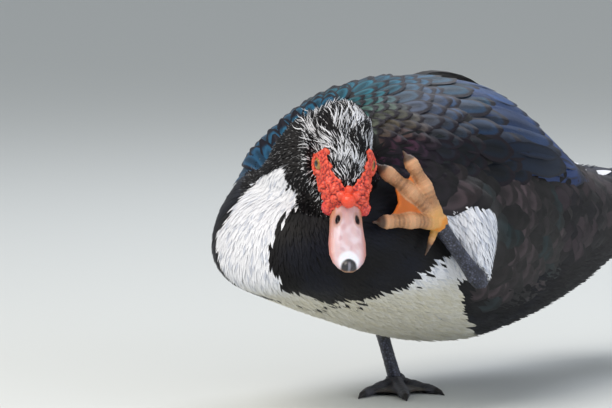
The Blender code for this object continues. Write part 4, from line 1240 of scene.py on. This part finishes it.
def openEyes(points):
    # clears the skin from the front of each eyeball, in an almond along the head
    for side, centre in ((1, leftEye), (-1, rightEye)):
        gaze, along, across = gazeAxes(side)
        offset = points - np.array(centre)
        gap = np.linalg.norm(offset, axis=1)
        way = offset / gap[:, None]
        front = way @ gaze
        wide = np.degrees(np.arctan2(np.abs(way @ along), front)) / eye["lids"][0]
        tall = np.degrees(np.arctan2(np.abs(way @ across), front)) / eye["lids"][1]
        reach = np.hypot(wide, tall)
        # behind the lids' edge the skin is left as it is
        limit = (eye["ball"] + 2.4 * ease(reach, 0.98, 1.22) + 200 * ease(reach, 1.22, 1.6)) * mm
        points = np.array(centre) + way * np.minimum(gap, limit)[:, None]
    return points


def makeCaruncles():
    mesh = nodes["caruncles"].data
    centres = np.array([p.center for p in mesh.polygons])
    facing = np.array([p.normal for p in mesh.polygons])
    areas = np.array([p.area for p in mesh.polygons])
    picked = rng.choice(len(areas), caruncle["beads"], p=areas / areas.sum())
    local = toHead(centres[picked])
    outward = unit(local * np.array((1, 0.25, 1)) + np.array((0, 0, 0.004)))
    outside = ((facing[picked] @ headAxes) * outward).sum(1) > 0.35
    picked = picked[outside]
    picked = picked[thinned(centres[picked], np.full(len(picked), caruncle["beadSpacing"]))]
    balls = caruncleBalls()
    for spot, normal in zip(centres[picked], facing[picked]):
        radius = rng.uniform(*caruncle["bead"])
        if min((Vector(spot) - leftEye).length, (Vector(spot) - rightEye).length) > 9.5 * mm:
            balls.append(ball(spot - normal * radius * 0.35, radius, 8))
    made = remeshed(joined("caruncle_skin", ["caruncles"], balls), caruncle["voxel"], 2)
    points, normals = meshArrays(made.data)
    folds = np.abs(cloud(points, 0.0032)) * 2.4 - 0.6
    fine = 1 - 2 * np.abs(cloud(points, 0.0011, 3.0))
    knob = 1 - ease(np.linalg.norm(toHead(points) / mm - np.array(caruncle["knobPlace"]), axis=1), 5, 8.5)
    height = (folds * 0.8 + fine * 0.4) * caruncle["fold"] * (1 - 0.8 * knob)
    points = openEyes(points + normals * height[:, None])
    # above the eyes it dips under the feathered skin
    over = ease(aboveEyes(points), ringTop, ringTop + 3)
    for i in np.flatnonzero(over > 0):
        spot, normal, _, _ = skinTree.find_nearest(Vector(points[i]))
        points[i] += (np.array(spot - normal * 0.9 * mm) - points[i]) * over[i]
    setPoints(made.data, points)
    local = toHead(points) / mm
    # painted light and shade: the hollows between lobes are painted deeper red as shade and the ridges a
    # lighter orange as highlights; compare each point with its smoothed surroundings
    hollow = surroundings(made.data, points, 5)
    depth = ((points - hollow) * normals).sum(1) / mm
    fromGape = np.linalg.norm(np.abs(local) - np.array(caruncle["gapePlace"]), axis=1)
    paintPoints(made.data, "plume", layered(
        linear(caruncle["red"]),
        # painted highlight on the ridges, painted shade in the hollows
        (caruncle["raised"], ease(depth, 0.01, 0.16)),
        (caruncle["hollow"], 0.9 * ease(-depth, 0.01, 0.16)),
        (caruncle["gape"], (1 - ease(fromGape, 5, 10)) * (local[:, 2] < -2) * 0.7),
        (caruncle["knob"], knob * 0.8),
    ))
    return dressed(made, caruncleSkin)


def surroundings(mesh, points, rounds):
    # points averaged with their neighbours along the edges, a few times over
    ends = readArray(mesh.edges, "vertices", 2, np.int32)
    number = np.bincount(ends.ravel(), minlength=len(points))[:, None]
    smooth = points
    for _ in range(rounds):
        total = np.zeros_like(smooth)
        np.add.at(total, ends[:, 0], smooth[ends[:, 1]])
        np.add.at(total, ends[:, 1], smooth[ends[:, 0]])
        smooth = total / np.maximum(number, 1)
    return smooth


caruncleSkinPiece = makeCaruncles()
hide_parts("caruncles")
print("caruncles", len(caruncleSkinPiece.data.polygons), "faces")


nostril = {"place": (6.8, -42.0, -4.4), "radii": (2.3, 4.6, 3.2), "slant": 0.3}
billTones = {
    "horn": "#d3b6ba", "edge": "#c07a6c", "base": "#c98f86", "baseEdge": "#c07d4a", "milky": "#e6dbe4",
    "veins": "#b98a94", "tip": "#e9edf6", "nail": "#12131c", "nailLine": "#8d8a96", "lip": "#b9893f",
    # the last tone darkens the bill towards its bottom edge
    "nostrilRim": "#a8755c", "nostril": "#1d1014", "billBottom": "#b07f72",
}


def makeBill():
    upper = refinedNode("bill_upper", "bill_horn_upper", 0.5 * mm, 4, billHorn)
    lower = refinedNode("bill_lower", "bill_horn_lower", 0.5 * mm, 3, billHorn)
    for piece in (upper, lower):
        points, normals = meshArrays(piece.data)
        x, y, z = (toHead(points) / mm).T
        out = np.abs(x)
        base = 1 - ease(-y, 34, 52)
        cloudy = ease(cloud(points, 0.005, 2.0), -0.3, 0.5)
        veins = ease(cloud(points * np.array((1, 1, 0.5)), 0.0035, 6.0), 0.15, 0.5)
        tip = 1 - ease(np.hypot(x, y + 71.5), 5.8, 8.6)
        nail = 1 - ease(np.hypot(x * 0.98, y + 75.6), 4.6, 6.2)
        colour = layered(
            linear(billTones["horn"]),
            (billTones["edge"], 0.85 * ease(out, 8.2, 12.6)),
            (billTones["base"], base * 0.7),
            (billTones["baseEdge"], base * ease(out, 6.5, 9.5) * 0.75),
            (billTones["milky"], 0.6 * cloudy * (1 - base) * (1 - ease(out, 6, 10))),
            (billTones["veins"], 0.35 * veins),
            (billTones["tip"], tip * 0.9),
            (billTones["nail"], nail * 0.97),
            (billTones["nailLine"], nail * (1 - ease(out, 0.5, 1.3)) * ease(-y, 72, 75) * 0.75),
            (billTones["lip"], 0.7 * (1 - ease(z + 0.02 * y, -17.2, -15.8)) * ease(-y, 70, 76)),
        )
        for side in (1, -1):
            gap = np.stack([x, y, z], 1) - np.array(nostril["place"]) * np.array((side, 1, 1))
            gap[:, 0] += nostril["slant"] * side * gap[:, 1]
            reach = np.linalg.norm(gap / np.array(nostril["radii"]), axis=1)
            colour = layered(
                colour,
                (billTones["nostrilRim"], 0.6 * (1 - ease(reach, 1.0, 1.7))),
                (billTones["nostril"], 1 - ease(reach, 0.62, 0.95)),
            )
        # the bill turns a darker brownish pink towards its bottom edge
        billBottom = 1 - ease(z + 0.03 * y, -18, -15.4)
        paintPoints(piece.data, "plume", layered(colour, (billTones["billBottom"], 0.4 * billBottom)))
        relief(piece.data, points, normals, 0.06 * mm * cloud(points, 0.004))
    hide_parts("bill_upper")
    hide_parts("bill_lower")
    return upper, lower


billUpper, billLower = makeBill()


# Eyes: dark pupil and amber iris under a clear wet cornea

def makeEye(side, node):
    centre = leftEye if side > 0 else rightEye
    low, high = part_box(node)
    radius = (high.x - low.x) / 2 + eye["grow"]
    work = bmesh.new()
    bmesh.ops.create_uvsphere(work, u_segments=40, v_segments=48, radius=radius)
    gaze = Vector(gazeAxes(side)[0])
    turn = gaze.to_track_quat("Z", "Y").to_matrix().to_4x4()
    bmesh.ops.transform(work, matrix=Matrix.Translation(centre) @ turn, verts=work.verts)
    made = dressed(objectFrom(node + "_ball", meshFrom(node + "_ball", work)), eyeGlass)
    offset = unit(meshArrays(made.data)[0] - np.array(centre))
    angle = np.degrees(np.arccos(np.clip(offset @ np.array(gaze), -1, 1)))
    fibres = 0.8 + 0.4 * np.abs(cloud(offset * 0.01, 0.0012))
    pupil, iris = eye["pupil"], eye["iris"]
    colour = layered(linear(eye["innerTone"]), (eye["irisTone"], ease(angle, pupil, pupil + 3)))
    paintPoints(made.data, "plume", layered(
        colour * fibres[:, None],
        (eye["rimTone"], ease(angle, iris, iris + 5)),
        (eye["pupilTone"], 1 - ease(angle, pupil - 2, pupil + 1)),
    ))
    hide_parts(node)


for side, node in ((1, "eye_left"), (-1, "eye_right")):
    makeEye(side, node)


# Legs and feet

tarsus = {
    "voxel": 0.6 * mm, "scute": 2.0 * mm, "relief": 0.28 * mm,
    "seams": "#14141a", "plates": "#4b5068", "pale": "#777b90", "knee": "#8c8350",
}
# the standing foot: its joint, the way it heads, and each toe's spread and length, the hind toe last
standing = {
    "joint": (-28.8, 30.8, 5.6), "heading": 43.1, "spreads": (36, 0, -31, 158),
    "lengths": (53.3, 72, 65.5, 23), "tipHeight": 2, "tones": ("#3c362f", "#34343c", "#4a4a50", "#1a181a"),
}
# the raised foot: its joint and the tips of its toes, the hind toe last; tones of web, toe, pad and claw
raised = {
    "joint": (94.5, -86.4, 140.0), "arch": 5.0,
    "tips": ((75.4, -135.5, 142.5), (66.5, -121.5, 183.0), (78.3, -103.6, 190.9), (90.0, -94.0, 116.0)),
    "tones": ("#e07416", "#b5835a", "#e0ab80", "#5c4638"), "warm": "#dba23a",
}


def standingTips():
    x, y, _ = standing["joint"]
    tips = []
    for spread, length in zip(standing["spreads"], standing["lengths"]):
        a = math.radians(standing["heading"] + spread)
        tips.append((x + length * math.sin(a), y - length * math.cos(a), standing["tipHeight"]))
    return tips


def makeTarsus(node, name):
    made = refinedNode(node, name, tarsus["voxel"], 2, legScutes)
    points, normals = meshArrays(made.data)
    plates = cobbles(points, tarsus["scute"])
    relief(made.data, points, normals, (plates - 0.5) * tarsus["relief"])
    patchy = ease(cloud(points, 0.006, 1.0), -0.3, 0.4)
    # the standing leg turns yellowish where it goes into the feathers
    yellow = ease(points[:, 2], 0.036, 0.050) * (node == "tarsus_right")
    paintPoints(made.data, "plume", layered(
        linear(tarsus["seams"]),
        (tarsus["plates"], plates),
        (tarsus["pale"], 0.5 * patchy * plates),
        (tarsus["knee"], yellow * 0.75),
    ))
    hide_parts(node)


# toes swell at their knuckles and end in a pad before the claw: share of the way and of the radius
toeSwell = (
    (0, 1.0), (0.14, 1.02), (0.33, 0.80), (0.48, 0.98), (0.64, 0.72), (0.80, 0.90), (0.90, 0.55), (1.0, 0.3),
)
knuckles = (0.0, 0.14, 0.48, 0.80)
# radius of each toe, how far the scutes are apart and the pebbles' size, in millimetres
toeRadii = (5.9, 6.3, 6.0, 3.6)
scuteStep = 3.0
pebble = 1.7


def toePath(joint, tip, up, arch):
    t = np.linspace(0, 1, 36)
    bend = arch * np.sin(math.pi * np.clip(t / 0.88, 0, 1))
    return np.array(joint) + t[:, None] * (np.array(tip) - np.array(joint)) + bend[:, None] * np.array(up), t


def makeFoot(node, name, joint, tips, shades, up, arch):
    lines = [toePath(joint, tip, up, arch * (k < 3)) for k, tip in enumerate(tips)]
    balls = []
    if arch:
        for (places, t), radius in zip(lines[:3], toeRadii):
            for k in range(31):
                balls.append(ball(places[k] * mm, radius * float(readTable(toeSwell, t[k])[0]) * mm, 12))
    made = dressed(remeshed(joined(name, [node], balls), 0.7 * mm, 2), webSkin)
    points, normals = meshArrays(made.data)
    every = np.concatenate([places for places, _ in lines])
    shares = np.concatenate([t for _, t in lines])
    reaches = np.concatenate([radius * readTable(toeSwell, t)[0] for (_, t), radius in zip(lines, toeRadii)])
    spans = np.concatenate([np.full(len(t), np.linalg.norm(places[-1] - places[0])) for places, t in lines])
    gaps = np.linalg.norm(points[:, None] / mm - every[None], axis=2)
    nearest = gaps.argmin(1)
    gap, share = gaps.min(1), shares[nearest]
    onToe = 1 - ease(gap - reaches[nearest], 0.3, 1.8)
    bars = 0.5 + 0.5 * np.cos(2 * math.pi * share * spans[nearest] / scuteStep + 2 * cloud(points, 0.004))
    plates = cobbles(points, pebble * mm)
    height = (plates + bars - 1) * 0.2 * mm * onToe + 0.25 * mm * cloud(points, 0.004) * (1 - onToe)
    moved = points + normals * height[:, None]
    moved[:, 2] = np.maximum(moved[:, 2], 0)
    setPoints(made.data, moved)
    web, toe, pad, claw = (linear(hexValue) for hexValue in shades)
    knuckle = sum(np.exp(-(((share - at) / 0.09) ** 2)) for at in knuckles)
    # the raised foot is warmer at its joint
    warm = (1 - ease(np.linalg.norm(points / mm - np.array(joint), axis=1), 9, 17)) * bool(arch)
    toTip = np.array([np.linalg.norm(points / mm - np.array(tip), axis=1) for tip in tips]).min(0)
    paintPoints(made.data, "plume", layered(
        web,
        (web * 0.7, ease(cloud(points, 0.009), 0, 0.5)),
        (toe[None] * (0.45 + 0.3 * plates + 0.35 * bars)[:, None], onToe),
        (pad, np.clip(knuckle, 0, 1) * onToe * 0.75),
        (raised["warm"], warm * 0.5),
        (claw, 1 - ease(toTip, 8.0, 10.5)),
    ))
    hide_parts(node)
    return made


makeTarsus("tarsus_left", "scutes_left")
makeTarsus("tarsus_right", "scutes_right")
toeWays = [Vector(tip) - Vector(raised["joint"]) for tip in raised["tips"]]
sole = toeWays[2].cross(toeWays[0]).normalized()
footLeft = makeFoot("foot_left", "webbed_foot_left", raised["joint"], raised["tips"], raised["tones"], sole,
                    raised["arch"])
footRight = makeFoot("foot_right", "webbed_foot_right", standing["joint"], standingTips(), standing["tones"],
                     (0, 0, 1), 0.0)
print("bare parts done")


# What stands for what, and what rides with the body

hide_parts("torso", "neck", "head", "thigh_left")
for piece in leftWing:
    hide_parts("wing_left")
for piece in rightWing:
    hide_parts("wing_right")
for piece in tailFan:
    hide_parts("tail")
for piece in pieces.objects:
    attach(piece, "root")


# Stage, light and camera

# plain matt paper floor
paper, _, paperShader = newMaterial("pale studio paper", Roughness=0.85)
paperShader.inputs["Base Color"].default_value = (*linear("#d5d8d6"), 1)
floorMesh = bpy.data.meshes.new("floor")
floorMesh.from_pydata([(-20, -20, 0), (20, -20, 0), (20, 20, 0), (-20, 20, 0)], [], [(0, 1, 2, 3)])
floorMesh.materials.append(paper)
studio = bpy.context.scene.collection
floor = objectFrom("floor", floorMesh, studio)

# degrees round and up; where the bird's origin stands in the picture, and the size of a pixel there
view = {
    "azimuth": 38, "elevation": 5, "distance": 3.0, "pixel": 0.735 * mm, "origin": (402, 396),
    "image": (612, 408),
}
azimuth, elevation = math.radians(view["azimuth"]), math.radians(view["elevation"])
level = math.cos(elevation)
back = Vector((math.sin(azimuth) * level, -math.cos(azimuth) * level, math.sin(elevation)))
right = Vector((math.cos(azimuth), math.sin(azimuth), 0))
up = back.cross(right)
aim = right * (view["image"][0] / 2 - view["origin"][0]) * view["pixel"]
aim += up * (view["origin"][1] - view["image"][1] / 2) * view["pixel"]
cameraData = bpy.data.cameras.new("camera")
cameraData.sensor_width = 36
cameraData.lens = cameraData.sensor_width * view["distance"] / (view["image"][0] * view["pixel"])
camera = objectFrom("camera", cameraData, studio)
camera.location = aim + back * view["distance"]
camera.rotation_euler = (-back).to_track_quat("-Z", "Y").to_euler()
bpy.context.scene.camera = camera

lights = (
    # name, place relative to the bird as (right, up, towards the camera) in metres, size, watts, colour
    ("key", (-1.3, 1.7, 1.2), 1.4, 46, "#fff6ea"),
    ("fill", (1.6, 0.7, 1.5), 1.6, 16, "#eef4ff"),
    ("rim", (0.6, 1.9, -1.4), 1.2, 22, "#f2f6ff"),
)
target = Vector((0.02, 0.02, 0.13))
toCamera = Vector((back.x, back.y, 0)).normalized()
for name, (across, high, near), size, watts, hexValue in lights:
    lamp = bpy.data.lights.new(name, "AREA")
    lamp.size, lamp.energy, lamp.color = size, watts, linear(hexValue)
    made = objectFrom(name, lamp, studio)
    made.location = target + right * across + Vector((0, 0, high)) + toCamera * near
    made.rotation_euler = (target - made.location).to_track_quat("-Z", "Y").to_euler()

world = bpy.data.worlds.new("studio")
world.use_nodes = True
sky = world.node_tree.nodes["Background"]
sky.inputs["Color"].default_value = (*linear("#e8edf2"), 1)
sky.inputs["Strength"].default_value = 0.55
bpy.context.scene.world = world
bpy.context.scene.view_settings.view_transform = "Standard"
